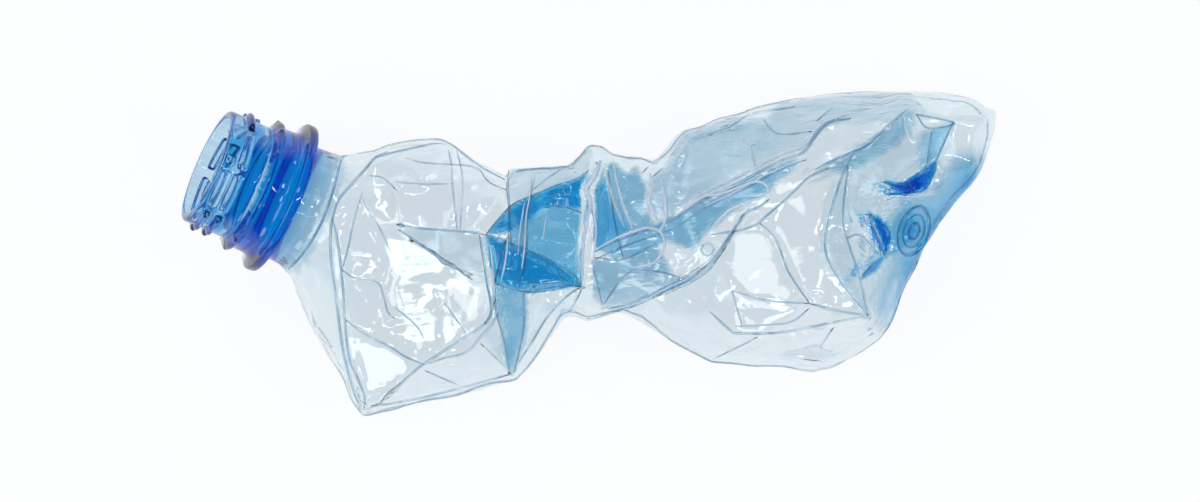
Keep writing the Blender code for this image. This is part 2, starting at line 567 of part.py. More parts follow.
def neck_profile():
    """Section of the neck finish as (radius, height), down the outside and back up the bore."""
    return (
        (RIM_RADIUS - 0.3, RIM_HEIGHT),
        (RIM_RADIUS, RIM_HEIGHT - 0.4),
        (RIM_RADIUS, BEAD_HEIGHT + 1.8),
        (BEAD_RADIUS - 0.4, BEAD_HEIGHT + 0.8),
        (BEAD_RADIUS, BEAD_HEIGHT + 0.2),
        (BEAD_RADIUS - 0.4, BEAD_HEIGHT - 0.8),
        (WAIST_RADIUS, BEAD_HEIGHT - 2.2),
        (WAIST_RADIUS + 0.2, 2.6),
        (COLLAR_RADIUS - 0.5, 1.0),
        (COLLAR_RADIUS, 0.6),
        (COLLAR_RADIUS, -0.6),
        (COLLAR_RADIUS - 0.5, -1.0),
        (SKIRT_RADIUS - 0.4, -1.6),
        (SKIRT_RADIUS, SKIRT_END),
        (TUBE_RADIUS - WALL - SKIRT_LAP, SKIRT_END),
        (BORE_RADIUS, -2.6),
        (BORE_RADIUS, RIM_HEIGHT),
    )


def material(name, colour, roughness):
    """Clear blue plastic."""
    made = bpy.data.materials.new(name)
    made.use_nodes = True
    shader = made.node_tree.nodes["Principled BSDF"]
    shader.inputs["Base Color"].default_value = colour
    shader.inputs["Roughness"].default_value = roughness
    shader.inputs["Metallic"].default_value = 0.0
    shader.inputs["IOR"].default_value = 1.57
    shader.inputs["Transmission Weight"].default_value = 0.9
    return made


def object_from(mesh, name, collection):
    """An object in a collection from a bmesh, which is freed."""
    data = bpy.data.meshes.new(name)
    mesh.to_mesh(data)
    mesh.free()
    made = bpy.data.objects.new(name, data)
    collection.objects.link(made)
    return made


def build_neck(collection):
    """The thick neck finish, turned with a Screw modifier and set on the neck's axis."""
    outline = bmesh.new()
    verts = [outline.verts.new((radius * MM, 0.0, height * MM)) for radius, height in neck_profile()]
    for index, vert in enumerate(verts):
        outline.edges.new((vert, verts[(index + 1) % len(verts)]))
    neck = object_from(outline, "neck_finish", collection)
    screw = neck.modifiers.new("turned", "SCREW")
    screw.axis = "Z"
    screw.angle = math.tau
    screw.steps = NECK_SEGMENTS
    screw.render_steps = NECK_SEGMENTS
    screw.use_merge_vertices = True
    screw.merge_threshold = 0.00001
    centre, axis, level, raised = neck_axes()
    neck.matrix_world = Matrix((
        (level.x, -raised.x, axis.x, centre.x * MM),
        (level.y, -raised.y, axis.y, centre.y * MM),
        (level.z, -raised.z, axis.z, centre.z * MM),
        (0.0, 0.0, 0.0, 1.0)))
    neck.hide_render = True
    neck.display_type = "WIRE"
    return neck


def build_bottle(collection, cutters):
    """The bottle: the crumpled skin given its wall, joined to the neck finish."""
    bottle = object_from(crumpled_skin(), NAME, collection)
    wall = bottle.modifiers.new("wall", "SOLIDIFY")
    wall.thickness = WALL * MM
    wall.offset = -1.0
    wall.use_even_offset = False
    neck = build_neck(cutters)
    joined = bottle.modifiers.new("neck", "BOOLEAN")
    joined.operation = "UNION"
    joined.solver = "EXACT"
    joined.object = neck
    bottle.data.materials.append(material("clear_blue_plastic", WALL_COLOUR, WALL_ROUGHNESS))
    bottle.data.shade_smooth()
    bottle.data.set_sharp_from_angle(angle=SHARP_ANGLE)
    return bottle


def main():
    for old in list(bpy.data.objects):
        bpy.data.objects.remove(old, do_unlink=True)
    parts = bpy.data.collections.new("crushed_bottle")
    cutters = bpy.data.collections.new("construction")
    for collection in (parts, cutters):
        bpy.context.scene.collection.children.link(collection)
    build_bottle(parts, cutters)


main()
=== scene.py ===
import json
import math

import bmesh
import bpy
import numpy as np
from mathutils import Matrix, Vector
from mathutils.bvhtree import BVHTree
from mathutils.kdtree import KDTree


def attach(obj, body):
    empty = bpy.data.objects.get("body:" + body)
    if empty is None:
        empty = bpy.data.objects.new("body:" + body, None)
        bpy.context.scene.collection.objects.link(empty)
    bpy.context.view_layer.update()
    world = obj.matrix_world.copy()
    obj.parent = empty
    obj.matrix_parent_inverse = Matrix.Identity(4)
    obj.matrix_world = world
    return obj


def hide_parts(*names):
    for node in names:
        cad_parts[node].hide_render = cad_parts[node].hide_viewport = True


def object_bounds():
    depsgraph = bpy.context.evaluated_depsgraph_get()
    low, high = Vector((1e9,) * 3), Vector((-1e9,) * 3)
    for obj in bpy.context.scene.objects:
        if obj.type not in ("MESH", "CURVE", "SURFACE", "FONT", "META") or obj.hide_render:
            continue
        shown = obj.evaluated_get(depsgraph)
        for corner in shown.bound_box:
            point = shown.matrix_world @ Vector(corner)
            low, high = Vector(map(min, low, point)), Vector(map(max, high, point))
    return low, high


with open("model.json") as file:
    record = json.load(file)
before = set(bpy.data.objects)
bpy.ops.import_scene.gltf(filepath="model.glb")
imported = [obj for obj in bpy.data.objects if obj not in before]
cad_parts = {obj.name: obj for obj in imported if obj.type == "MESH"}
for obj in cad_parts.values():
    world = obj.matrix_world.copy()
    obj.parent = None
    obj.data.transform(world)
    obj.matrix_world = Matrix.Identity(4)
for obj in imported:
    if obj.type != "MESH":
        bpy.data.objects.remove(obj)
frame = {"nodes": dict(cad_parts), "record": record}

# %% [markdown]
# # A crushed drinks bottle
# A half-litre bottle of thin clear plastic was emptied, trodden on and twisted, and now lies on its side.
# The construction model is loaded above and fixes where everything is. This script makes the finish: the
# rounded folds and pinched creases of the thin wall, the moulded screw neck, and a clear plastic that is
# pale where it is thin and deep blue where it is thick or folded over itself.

MM = 0.001


def to_mesh(name, solid):
    """A new mesh made from a finished bmesh, which is freed."""
    mesh = bpy.data.meshes.new(name)
    solid.to_mesh(mesh)
    solid.free()
    return mesh


def put_in_scene(name, data):
    """A new object in the scene."""
    new_object = bpy.data.objects.new(name, data)
    bpy.context.scene.collection.objects.link(new_object)
    return new_object


cad = frame["nodes"]["bottle"]
box_low, box_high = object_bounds()
CAD_BOX = [list(box_low), list(box_high)]
print("construction box, mm:", [round(high / MM - low / MM, 1) for low, high in zip(*CAD_BOX)])

# %% [markdown]
# The neck finish is the one part that kept its true shape, so its axis is the best guide to everything
# near it. The record states the flat sealing face at the mouth, with its outward normal: that normal is
# the neck's axis, and the stated point lies level with the centre, on the sealing face.

# %% The neck's axis, from the sealing face that the record states
mouth = next(mount for mount in frame["record"]["mounts"] if mount["name"] == "mouth_face")
neck_axis = Vector(mouth["axis"]).normalized()
neck_level = Vector((neck_axis.y, -neck_axis.x, 0.0)).normalized()
neck_under = neck_axis.cross(neck_level)
SEAL_RADIUS = 11.6
RIM_HEIGHT = 17.0
rim_centre = Vector(mouth["pos_m"]) - neck_level * SEAL_RADIUS * MM
neck_centre = rim_centre - neck_axis * RIM_HEIGHT * MM
neck_frame = Matrix((
    (neck_level.x, neck_under.x, neck_axis.x, neck_centre.x),
    (neck_level.y, neck_under.y, neck_axis.y, neck_centre.y),
    (neck_level.z, neck_under.z, neck_axis.z, neck_centre.z),
    (0.0, 0.0, 0.0, 1.0)))
print("collar centre, mm:", [round(value / MM, 1) for value in neck_centre])

# %% [markdown]
# The crumpled wall starts from the construction model, because that is where the flat facets and the big
# folds already are. Its mesh is left alone: a copy is merged, cut off just below the neck finish with a
# bisecting plane, and only the outer skin of the copy is kept. The wall's thickness is put back later.
# Heights along the neck's axis are counted in mm from the middle of the support collar.

# %% The outer skin of the body, without the neck
CUT_HEIGHT = -4.5
FINISH_FROM = -1.5
TUBE_REACH = 13.2
MERGE_WITHIN = 0.004
ON_PLANE = 0.0005
skin = bmesh.new()
skin.from_mesh(cad.data)
bmesh.ops.remove_doubles(skin, verts=skin.verts, dist=MERGE_WITHIN * MM)


def off_axis(point):
    """Distance of a point from the neck's axis, in mm."""
    offset = point - neck_centre
    return (offset - neck_axis * offset.dot(neck_axis)).length / MM


def neck_heights(places):
    """Heights along the neck's axis of an array of places in mm."""
    return (places - np.array(neck_centre) / MM) @ np.array(neck_axis)


above = [vert for vert in skin.verts if (vert.co - neck_centre).dot(neck_axis) > FINISH_FROM * MM]
bmesh.ops.delete(skin, geom=above, context="VERTS")
tube = [face for face in skin.faces if all(off_axis(vert.co) < TUBE_REACH for vert in face.verts)]
tube_parts = dict.fromkeys(part for face in tube for part in (*face.verts, *face.edges, face))
bmesh.ops.bisect_plane(
    skin, geom=list(tube_parts), dist=ON_PLANE * MM,
    plane_co=neck_centre + neck_axis * CUT_HEIGHT * MM, plane_no=neck_axis, clear_outer=True)


def islands(mesh):
    """The separate shells of a mesh, as lists of faces."""
    waiting = set(mesh.faces)
    shells = []
    while waiting:
        shell = [waiting.pop()]
        for face in shell:
            for edge in face.edges:
                for other in edge.link_faces:
                    if other in waiting:
                        waiting.remove(other)
                        shell.append(other)
        shells.append(shell)
    return shells


shells = sorted(islands(skin), key=lambda shell: sum(face.calc_area() for face in shell))
for shell in shells[:-1]:
    bmesh.ops.delete(skin, geom=shell, context="FACES")
print("shells found:", len(shells), "faces kept:", len(skin.faces))

# %% [markdown]
# Big flat triangles have to become a fine mesh before folds can be rounded. Halving every edge that is
# longer than a wanted length, and cutting the results back into triangles, gives an even mesh that keeps
# the facets.

# %% Refining the skin
PANEL_EDGE = 1.8
REFINING_ROUNDS = 6


def lies_in(edge, areas):
    """Whether the middle of an edge, seen from above, lies in one of a few rectangles in mm."""
    x, y = (edge.verts[0].co.xy + edge.verts[1].co.xy) / 2 / MM
    return any(low_x < x < high_x and low_y < y < high_y for low_x, low_y, high_x, high_y in areas)


def refine(mesh, longest, areas=None):
    """Halves every edge that is longer than a length in mm, in a few rounds."""
    for _ in range(REFINING_ROUNDS):
        edges = [
            edge for edge in mesh.edges
            if edge.calc_length() > longest * MM and (areas is None or lies_in(edge, areas))]
        if not edges:
            return
        bmesh.ops.subdivide_edges(mesh, edges=edges, cuts=1, use_grid_fill=True)
        bmesh.ops.triangulate(mesh, faces=[face for face in mesh.faces if len(face.verts) > 3])


def coordinates(verts):
    """Vertex positions in mm, as an array."""
    return np.array([vert.co for vert in verts], dtype=float).reshape(-1, 3) / MM


refine(skin, PANEL_EDGE)
print("skin after refining:", len(skin.faces), "faces")

# %% [markdown]
# A trodden sheet bends in tight curves and not in knife edges. Smoothing the fine mesh twice, with the
# cut at the neck held still, rounds every fold a little and leaves the panels between them as they are.

# %% Rounding the folds
ROUNDING_PASSES = 2
ROUNDING_SHARE = 0.5
neck_cut = {vert for edge in skin.edges if len(edge.link_faces) == 1 for vert in edge.verts}
free = [vert for vert in skin.verts if vert not in neck_cut]
for _ in range(ROUNDING_PASSES):
    bmesh.ops.smooth_vert(
        skin, verts=free, factor=ROUNDING_SHARE, use_axis_x=True, use_axis_y=True, use_axis_z=True)
print("rounded", len(free), "vertices")

# %% [markdown]
# Between its creases the trodden sheet is almost flat, which is why whole panels of a crushed bottle
# flash at once. Each panel is an outline in mm, seen from above. Its corners are dropped onto the skin,
# a plane is fitted to them, and the skin inside the outline is moved most of the way to that plane.

# %% Flattening the panels between the creases
PANELS = (
    ((-52.5, 6), (-47, 12.5), (-43, 5), (-41, 0.4), (-43.5, -6), (-50.8, -3)),
    ((-50.8, -3), (-43.5, -6), (-41.5, -12), (-40, -13.3), (-46, -16.5), (-50.3, -13.4)),
    ((-41, 0.4), (-39.4, 5.2), (-31, -0.5), (-29, -2), (-30, -10), (-35.5, -14.8), (-40, -13.3),
     (-42.5, -8)),
    ((-30, -10), (-29, -2), (-24, -4.3), (-21, -6), (-20.3, -9), (-21.4, -14.3), (-25.5, -16.2), (-27, -14)),
    ((-47, 12.5), (-46.6, 17.4), (-44.4, 20.2), (-38, 20), (-34, 14.5), (-40, 15), (-39.4, 6), (-43, 5)),
    ((-34, 14.5), (-28.3, 14), (-27.2, 5.2), (-39.4, 6), (-40, 15)),
    ((-26.4, 15), (-19, 13.5), (-16.6, 9), (-16.3, 4.5), (-21.3, 4), (-26.6, 5.2)),
    ((-49.8, -14), (-41, -19), (-38, -21), (-35, -23.3), (-42, -29.3), (-47.4, -32.4)),
    ((-46, -16.5), (-40, -13.3), (-35.5, -14.8), (-34, -17.5), (-34, -22.8), (-38, -21), (-41, -19)),
    ((-34, -17.5), (-27, -14), (-25.5, -16.2), (-23, -15.5), (-27, -18), (-32, -21.3), (-34, -22.8)),
    ((-43, -30.7), (-35, -23.3), (-30, -21.5), (-24, -19), (-22.4, -18.4), (-17.2, -23.6), (-20, -26.1),
     (-30, -28.8), (-40, -30.9)),
    ((-21.3, 4), (-17, 2.5), (-8, -1.3), (-1.6, -6.6), (-13, -7.8), (-19.5, -6)),
    ((-13.5, -8), (-6, -9.8), (-14.4, -22.4), (-15.6, -24)),
    ((25, -2), (29.6, -7.4), (37.2, -9.4), (45, -10), (41, -3.5), (38.5, 3), (35, 6.5), (30.4, 6),
     (27, 0.5)),
    ((20, -9.6), (25, -2.4), (29.5, -7.5), (31.5, -14.5), (29, -15.5), (24.8, -11.8)),
    ((29.5, -7.5), (45, -10), (41, -14), (31, -14.8)),
    ((36.5, 8), (43, 13.8), (49, 17.6), (51.5, 15), (49, 6), (48.5, 1), (50, -3), (52, -6), (45, -10),
     (41, -3.5), (38.5, 3)),
    ((52.2, 9), (53.7, 20), (57, 22.3), (61, 26), (65.4, 29.8), (68, 22), (64, 15), (60, 9), (56, 4)),
    ((44, 20.9), (50.2, 27.4), (54, 28), (62, 28.6), (57, 22.3), (46.5, 17.5)),
    ((31, -16.3), (50, -14), (57.2, -12.5), (60, -16.6), (51, -22), (42, -22), (30, -21.6)),
    ((23, 11), (36.5, 17.4), (40, 19.4), (43.4, 20.6), (46, 17), (40, 11), (33, 9), (26, 7)),
    ((20, 24.8), (26, 26.6), (34, 28), (41, 21.4), (31, 15.8), (22, 12), (17, 14)),
)
FLATNESS = 0.85
PANEL_BORDER = 1.4
FACING_UP = 0.1
ABOVE_ALL = 100.0


def path_distance(points, path):
    """Distance of points from a path seen from above."""
    path = np.asarray(path, dtype=float)
    best = np.full(len(points), np.inf)
    for start, end in zip(path, path[1:]):
        run = end - start
        along = np.clip((points - start) @ run / (run @ run), 0.0, 1.0)
        best = np.minimum(best, np.linalg.norm(points - start - along[:, None] * run, axis=1))
    return best


def inside_patch(points, corners):
    """Which points lie inside a closed outline, seen from above."""
    inside = np.zeros(len(points), dtype=bool)
    for index in range(len(corners)):
        (x0, y0), (x1, y1) = corners[index - 1], corners[index]
        if y0 == y1:
            continue
        crosses = (y0 > points[:, 1]) != (y1 > points[:, 1])
        inside ^= crosses & (points[:, 0] < (x1 - x0) * (points[:, 1] - y0) / (y1 - y0) + x0)
    return inside


def smooth_share(values):
    """0 below 0, 1 above 1 and a smooth rise between."""
    values = np.clip(values, 0.0, 1.0)
    return values * values * (3.0 - 2.0 * values)


def top_height(tree, x, y):
    """Height in mm of the skin seen from above, or nan beside it."""
    hit = tree.ray_cast(Vector((x, y, ABOVE_ALL)) * MM, Vector((0.0, 0.0, -1.0)))[0]
    return hit.z / MM if hit else np.nan


skin.normal_update()
panel_tree = BVHTree.FromBMesh(skin)
verts = skin.verts[:]
places = coordinates(verts)
facing_up = np.array([vert.normal.z > FACING_UP for vert in verts])
for corners in PANELS:
    heights = [top_height(panel_tree, x, y) for x, y in corners]
    plane = np.linalg.lstsq(np.column_stack((corners, np.ones(len(corners)))), heights, rcond=None)[0]
    inside = np.flatnonzero(facing_up & inside_patch(places[:, :2], corners))
    share = FLATNESS * smooth_share(path_distance(places[inside, :2], corners + corners[:1]) / PANEL_BORDER)
    target = places[inside, :2] @ plane[:2] + plane[2]
    places[inside, 2] += share * (target - places[inside, 2])
for vert, place in zip(verts, places):
    if vert not in neck_cut:
        vert.co = Vector(place) * MM
skin.normal_update()
print("flattened", len(PANELS), "panels")

# %% [markdown]
# Between its hard creases trodden plastic keeps a field of shallow facets. Seeds scattered through the
# bottle's box divide space into cells, and each point of the skin goes out by a small share of its
# distance from the border of its own cell, but never below the floor. That makes low, straight-edged
# pyramids that break up every highlight. Where the colour changes sharply the mesh is then refined more.

# %% Crumpling the skin into shallow facets
CELL = 10.5
CELL_SEED = 7
SEEDS_NEAR = 4
CRUMPLE_SLOPE = 0.085
CRUMPLE_START, CRUMPLE_OVER = -8.0, 4.0
COLOUR_EDGE = 1.0
COLOURED_AREAS = ((-22.5, -9.0, 2.5, 19.0), (57.0, 11.0, 75.0, 21.5), (54.0, -8.0, 64.5, 10.0))
low_mm, high_mm = np.array(CAD_BOX) / MM
chance = np.random.default_rng(CELL_SEED)
seed_count = round(float(np.prod(high_mm - low_mm)) / CELL ** 3)
seeds = [Vector(place) for place in chance.uniform(low_mm, high_mm, (seed_count, 3))]
seed_tree = KDTree(seed_count)
for index, seed in enumerate(seeds):
    seed_tree.insert(seed, index)
seed_tree.balance()
places = coordinates(skin.verts)
fades = smooth_share((CRUMPLE_START - neck_heights(places)) / CRUMPLE_OVER)
for vert, place, fade in zip(skin.verts, places, fades):
    (own, _, own_far), *others = seed_tree.find_n(place, SEEDS_NEAR)
    inward = min((far ** 2 - own_far ** 2) / (2.0 * (seed - own).length) for seed, _, far in others)
    vert.co += vert.normal * float(fade) * CRUMPLE_SLOPE * inward * MM
    vert.co.z = max(vert.co.z, 0.0)
refine(skin, COLOUR_EDGE, COLOURED_AREAS)
skin.normal_update()
print("crumple cells:", seed_count, "skin faces:", len(skin.faces))

# %% [markdown]
# Where the sheet was folded hard it stayed pinched, and a crease is then a thin rib of plastic that
# stands on the wall and is seen as a fine darker line, which the material darkens further as painted shade.
# Each rib has a radius and a path in mm, seen from above, and is laid on the skin by dropping its points
# onto it. The short wide ones are knots where folds meet. The ribs of the outline go to the skin's nearest
# point, the rings are moulded in the base, and the pale ribs that are painted highlights of the folds are
# set a little higher, for a finish of their own.

# %% Creases, outline, rings and painted fold highlights: radius and path
CREASES = (
    (0.35, ((-42, 21.4), (-44.4, 20.2), (-46.6, 17.4), (-49.4, 14.2), (-51.6, 11.4), (-52.9, 7.4),
        (-53.3, 2), (-52.6, -5), (-51.7, -12), (-51, -19), (-49.9, -25), (-48.5, -30),
        (-47.9, -33))),
    (0.30, ((-52.9, 7.4), (-51.8, 3), (-50.9, -4), (-50.3, -11), (-50, -18), (-49.4, -22.4),
        (-47.8, -26), (-46.6, -29.6), (-47.2, -33))),
    (0.27, ((-44.4, 20.2), (-40, 21.4), (-36, 22.3), (-32, 23.2), (-30, 23))),
    (0.23, ((-47, 12), (-45.2, 8.5), (-43, 5), (-41, 0.4))),
    (0.22, ((-46.8, 13), (-48.5, 7), (-49.5, 2), (-50.6, -2.5))),
    (0.22, ((-45.5, 16.3), (-43, 16), (-41, 14.5), (-39.6, 13.2))),
    (0.22, ((-40, 15), (-34, 14.5), (-28, 14.7))),
    (0.23, ((-38, 20), (-34, 19), (-24, 18.3), (-21.6, 15.8), (-19.4, 14.3), (-17.2, 13.5))),
    (0.25, ((-29.5, 22.5), (-28.5, 18), (-28.3, 14), (-27.5, 8), (-27.2, 5.2))),
    (0.22, ((-27.8, 22), (-26.6, 18), (-26.2, 14), (-26.4, 8), (-26.6, 5.2))),
    (0.31, ((-39.6, 6), (-35, 5.4), (-30, 5), (-24, 4.5), (-21.4, 4))),
    (0.31, ((-39.4, 5.2), (-36, 3), (-31, -0.5), (-29, -2), (-24, -4.3))),
    (0.27, ((-22.6, 4), (-21.8, -1), (-21, -6), (-20.3, -9), (-20.2, -12), (-21.4, -14.3))),
    (0.25, ((-51, -3), (-49, -4.5), (-46, -5.3), (-43.5, -6), (-42.5, -8.5), (-41.5, -12),
        (-40, -13.3))),
    (0.22, ((-40, -11), (-35.5, -14.8), (-34, -17.5))),
    (0.22, ((-30, -10), (-27, -14), (-25.5, -16.2))),
    (0.26, ((-50, -13.5), (-46, -16.5), (-41, -19), (-38, -21), (-34, -22.8))),
    (0.35, ((-47, -32.6), (-43, -30.7), (-42, -29.3), (-39, -26.8), (-35, -23.3), (-32, -21.3),
        (-27, -18), (-23, -15.5), (-21.2, -14), (-20, -12), (-19.4, -9.6))),
    (0.28, ((-33, -22.5), (-30, -21.5), (-26, -20.5), (-24, -19), (-22, -16.5), (-20, -14.5),
        (-18.6, -12))),
    (0.28, ((-45, -31.4), (-40, -30.9), (-35, -30), (-30, -28.8), (-25, -27.5), (-20, -26.1),
        (-16.5, -25))),
    (0.23, ((-22.4, -18.4), (-17.2, -23.6))),
    (0.22, ((-34, -24), (-30, -26), (-27, -27.4))),
    (0.22, ((-57.3, -13.8), (-54.5, -17.5), (-53.4, -19.4))),
    (0.35, ((-17, 17.8), (-17, 14), (-16.5, 10), (-16.2, 4.5), (-17.4, 2), (-19.4, -6))),
    (0.26, ((-16.2, 4.5), (-15.8, 0), (-16.3, -4))),
    (0.28, ((-11.2, 16.8), (-12, 13), (-12.6, 8), (-12.8, 2), (-13.3, -3), (-14.4, -6.6))),
    (0.23, ((-12.8, 11), (-13.7, 4), (-14.1, -1), (-14.9, -6))),
    (0.23, ((-11.5, 13.5), (-8.6, 15.9), (-5.5, 18.2))),
    (0.26, ((-21.3, 4), (-18, 8), (-15.5, 10.5), (-12, 12), (-7, 14.3), (-3, 15.5), (0, 17.5))),
    (0.22, ((-9.4, 9.8), (-5, 9.8), (-1.4, 8.6))),
    (0.27, ((-21.3, 4), (-17, 2.5), (-12, 0.5), (-8, -1.3), (-3, -4.5), (-1.4, -6.6))),
    (0.27, ((-19.5, -6), (-13, -7.8), (-8, -7.4), (-4, -6.5), (-1.4, -6.8))),
    (0.29, ((-19.2, -9), (-19, -12), (-18, -16), (-17.2, -20), (-16.5, -24.6))),
    (0.26, ((-13.5, -8), (-13.4, -12), (-13.6, -16), (-15.6, -24.6))),
    (0.27, ((-14.6, -22.4), (-12, -18.5), (-9, -13.5), (-6, -10), (-3, -7.5), (-1.4, -6.8))),
    (0.25, ((-1.4, -6.8), (-2, -8.4), (-3.5, -11), (-4.4, -12.3))),
    (0.26, ((4, 17.4), (5, 9), (6, 3.6), (7, -0.4))),
    (0.32, ((11.2, 17), (12.5, 18.5))),
    (0.32, ((13.3, 16.2), (15.4, 18))),
    (0.36, ((0.8, 0.3), (6, 3), (12, 5), (18, 7.5), (23, 11), (30, 14.2), (36, 17.5), (40, 19.5),
        (44, 20.9), (46, 23.5), (48, 26), (50.2, 27.4), (54, 28))),
    (0.27, ((1.4, -1), (7, 1.6), (12.6, 3.6), (18.6, 6), (24, 9.6), (31, 12.9), (36.6, 16), (40.6, 18),
        (44.6, 19.4))),
    (0.35, ((-0.4, -13.6), (5, -12.1), (10.5, -10.3), (16, -7.5), (21.3, -5), (23, -3.2), (25, -2),
        (27, 0.5), (30.4, 6), (31.5, 7.8), (33, 9), (35, 9.8), (37, 11.3))),
    (0.26, ((0.6, -1.4), (1.8, -6), (2.8, -11))),
    (0.26, ((3, -10.5), (8, -4), (14, -3.5), (19, -4.8))),
    (0.25, ((1, -0.6), (7, -1), (14, 2.3))),
    (0.24, ((25, 25), (30, 27), (34, 29.4), (43, 30.8))),
    (0.24, ((36, 28.6), (39, 25), (46, 25.3))),
    (0.24, ((47, 27.5), (50.4, 30.4))),
    (0.22, ((33.5, 22.5), (34.3, 17.3))),
    (0.29, ((25, 4), (33, 5.5), (36.5, 8), (40, 11), (43, 13.8), (45, 15.8), (49, 17.6))),
    (0.31, ((65.4, 29.8), (61, 26), (57, 22.3), (52, 20.2), (46.5, 17.5))),
    (0.31, ((53.7, 20), (51.5, 15), (49, 6), (48.5, 1), (50, -3), (52, -6), (57.2, -12.5))),
    (0.27, ((53, 18), (52.2, 9), (52.8, 4), (55.3, -4), (57.2, -12.5))),
    (0.24, ((53, 3.3), (56, 4), (60.5, 0))),
    (0.27, ((35, 6.5), (38.5, 3), (41, -3.5), (45, -10))),
    (0.31, ((45, -10), (51, -11.5), (57.2, -12.5))),
    (0.25, ((45, -11), (41, -14), (31, -14.8))),
    (0.31, ((25, -11.8), (29, -15.5), (31, -16.3), (40, -16), (50, -14), (57.2, -12.5))),
    (0.24, ((29.5, -7.5), (31.5, -14.5))),
    (0.24, ((29.5, -7.5), (37, -9.5), (45, -10))),
    (0.24, ((50.5, -14.8), (48, -19.5))),
    (0.22, ((35, -17), (26, -22))),
    (0.31, ((60.5, 15), (65, 14.2), (71.7, 18.8), (69.5, 13.5), (65.5, 12.7))),
    (0.27, ((57.7, 8.2), (61.7, 5.5), (62.4, 3.5), (61.3, 0), (60.6, 2.5), (57.7, 8.2))),
    (0.26, ((56, -4.5), (60.5, -0.7))),
    (0.25, ((70, 17.5), (70.8, 25.5))),
    (0.25, ((71.7, 18.8), (75.5, 27.5))),
    (0.25, ((67.5, 28.8), (75.7, 27.2), (70, 26), (67.5, 28.8))),
    (0.34, ((-63.4, -3.6), (-60.5, -1.2), (-57.6, 2.4), (-55, 7), (-53.2, 12), (-52, 17.5), (-51.6, 20.8))),
    (0.75, ((-16.7, -24.6), (-16.3, -25), (-15.9, -25.3))),
    (0.75, ((-1.8, -6.7), (-1.3, -6.8), (-0.8, -7))),
    (0.70, ((-39.6, 6.1), (-38.8, 6), (-38, 5.9))),
    (0.60, ((1.4, 19), (2, 18.8), (2.6, 19.4))),
    (0.26, ((25.8, 1), (25.4, 1.9), (24.5, 2.3), (23.6, 1.9), (23.2, 1), (23.6, 0.1), (24.5, -0.3),
        (25.4, 0.1), (25.8, 1))),
)
EDGE_RIBS = (
    (0.24, ((-50, 21.2), (-45, 21.9), (-42, 23), (-38, 24.2), (-34, 24.7), (-31, 24.5), (-28, 22.8),
        (-24, 20), (-20.5, 18.1), (-17.6, 16.3))),
    (0.26, ((-16.9, 18.3), (-12, 18.5), (-8, 18.8), (-4.5, 18.9), (-2.4, 21), (-0.2, 23.4), (2.6, 22.9),
        (5.2, 21.2), (7.8, 20.6), (11, 20.9), (13.5, 19.8), (15.4, 21.6), (17.6, 24.6), (20, 26.3))),
    (0.20, ((20, 26.3), (23, 26.9), (26.5, 28.2), (30, 29.3), (35, 30.9), (40, 32), (45.5, 33.2), (50, 33.8),
        (55, 34.1), (61, 34.3), (67, 34.3), (74, 33.9), (80, 33), (83.2, 30.9), (85.2, 30.2))),
    (0.28, ((85.2, 29.4), (84.8, 24.6), (82.6, 18.4), (80, 14.2), (76.6, 10.4), (73.4, 6.4), (71, 2),
        (68.8, -2.2), (66.6, -6.4), (65, -10.4), (63.2, -14.6), (61, -18), (57.6, -20.3), (54.4, -22))),
    (0.24, ((54.4, -22), (51, -23.9), (47, -24.7), (42, -23.9), (36, -23.5), (30, -23.4), (25.4, -23),
        (21.6, -20.9), (18, -18.8), (14.4, -16.6), (10.4, -14), (7, -12.3), (3.6, -13.1),
        (-0.7, -14.4))),
    (0.28, ((-0.7, -14.4), (-3.2, -13), (-5.2, -13.2), (-7.5, -17), (-10, -20.5), (-12.8, -23.9),
        (-15.2, -26.5), (-18, -27.4), (-21.5, -28.2), (-26, -29.7), (-31, -30.5), (-36, -31.4),
        (-40.5, -32.6), (-44.5, -33.4), (-47.7, -34.2))),
    (0.26, ((-47.7, -34.2), (-49.2, -31.4), (-51, -27.6), (-53.2, -23.2), (-56, -19.2), (-58.8, -14.6),
        (-61.2, -8.8), (-62.6, -4.6))),
)
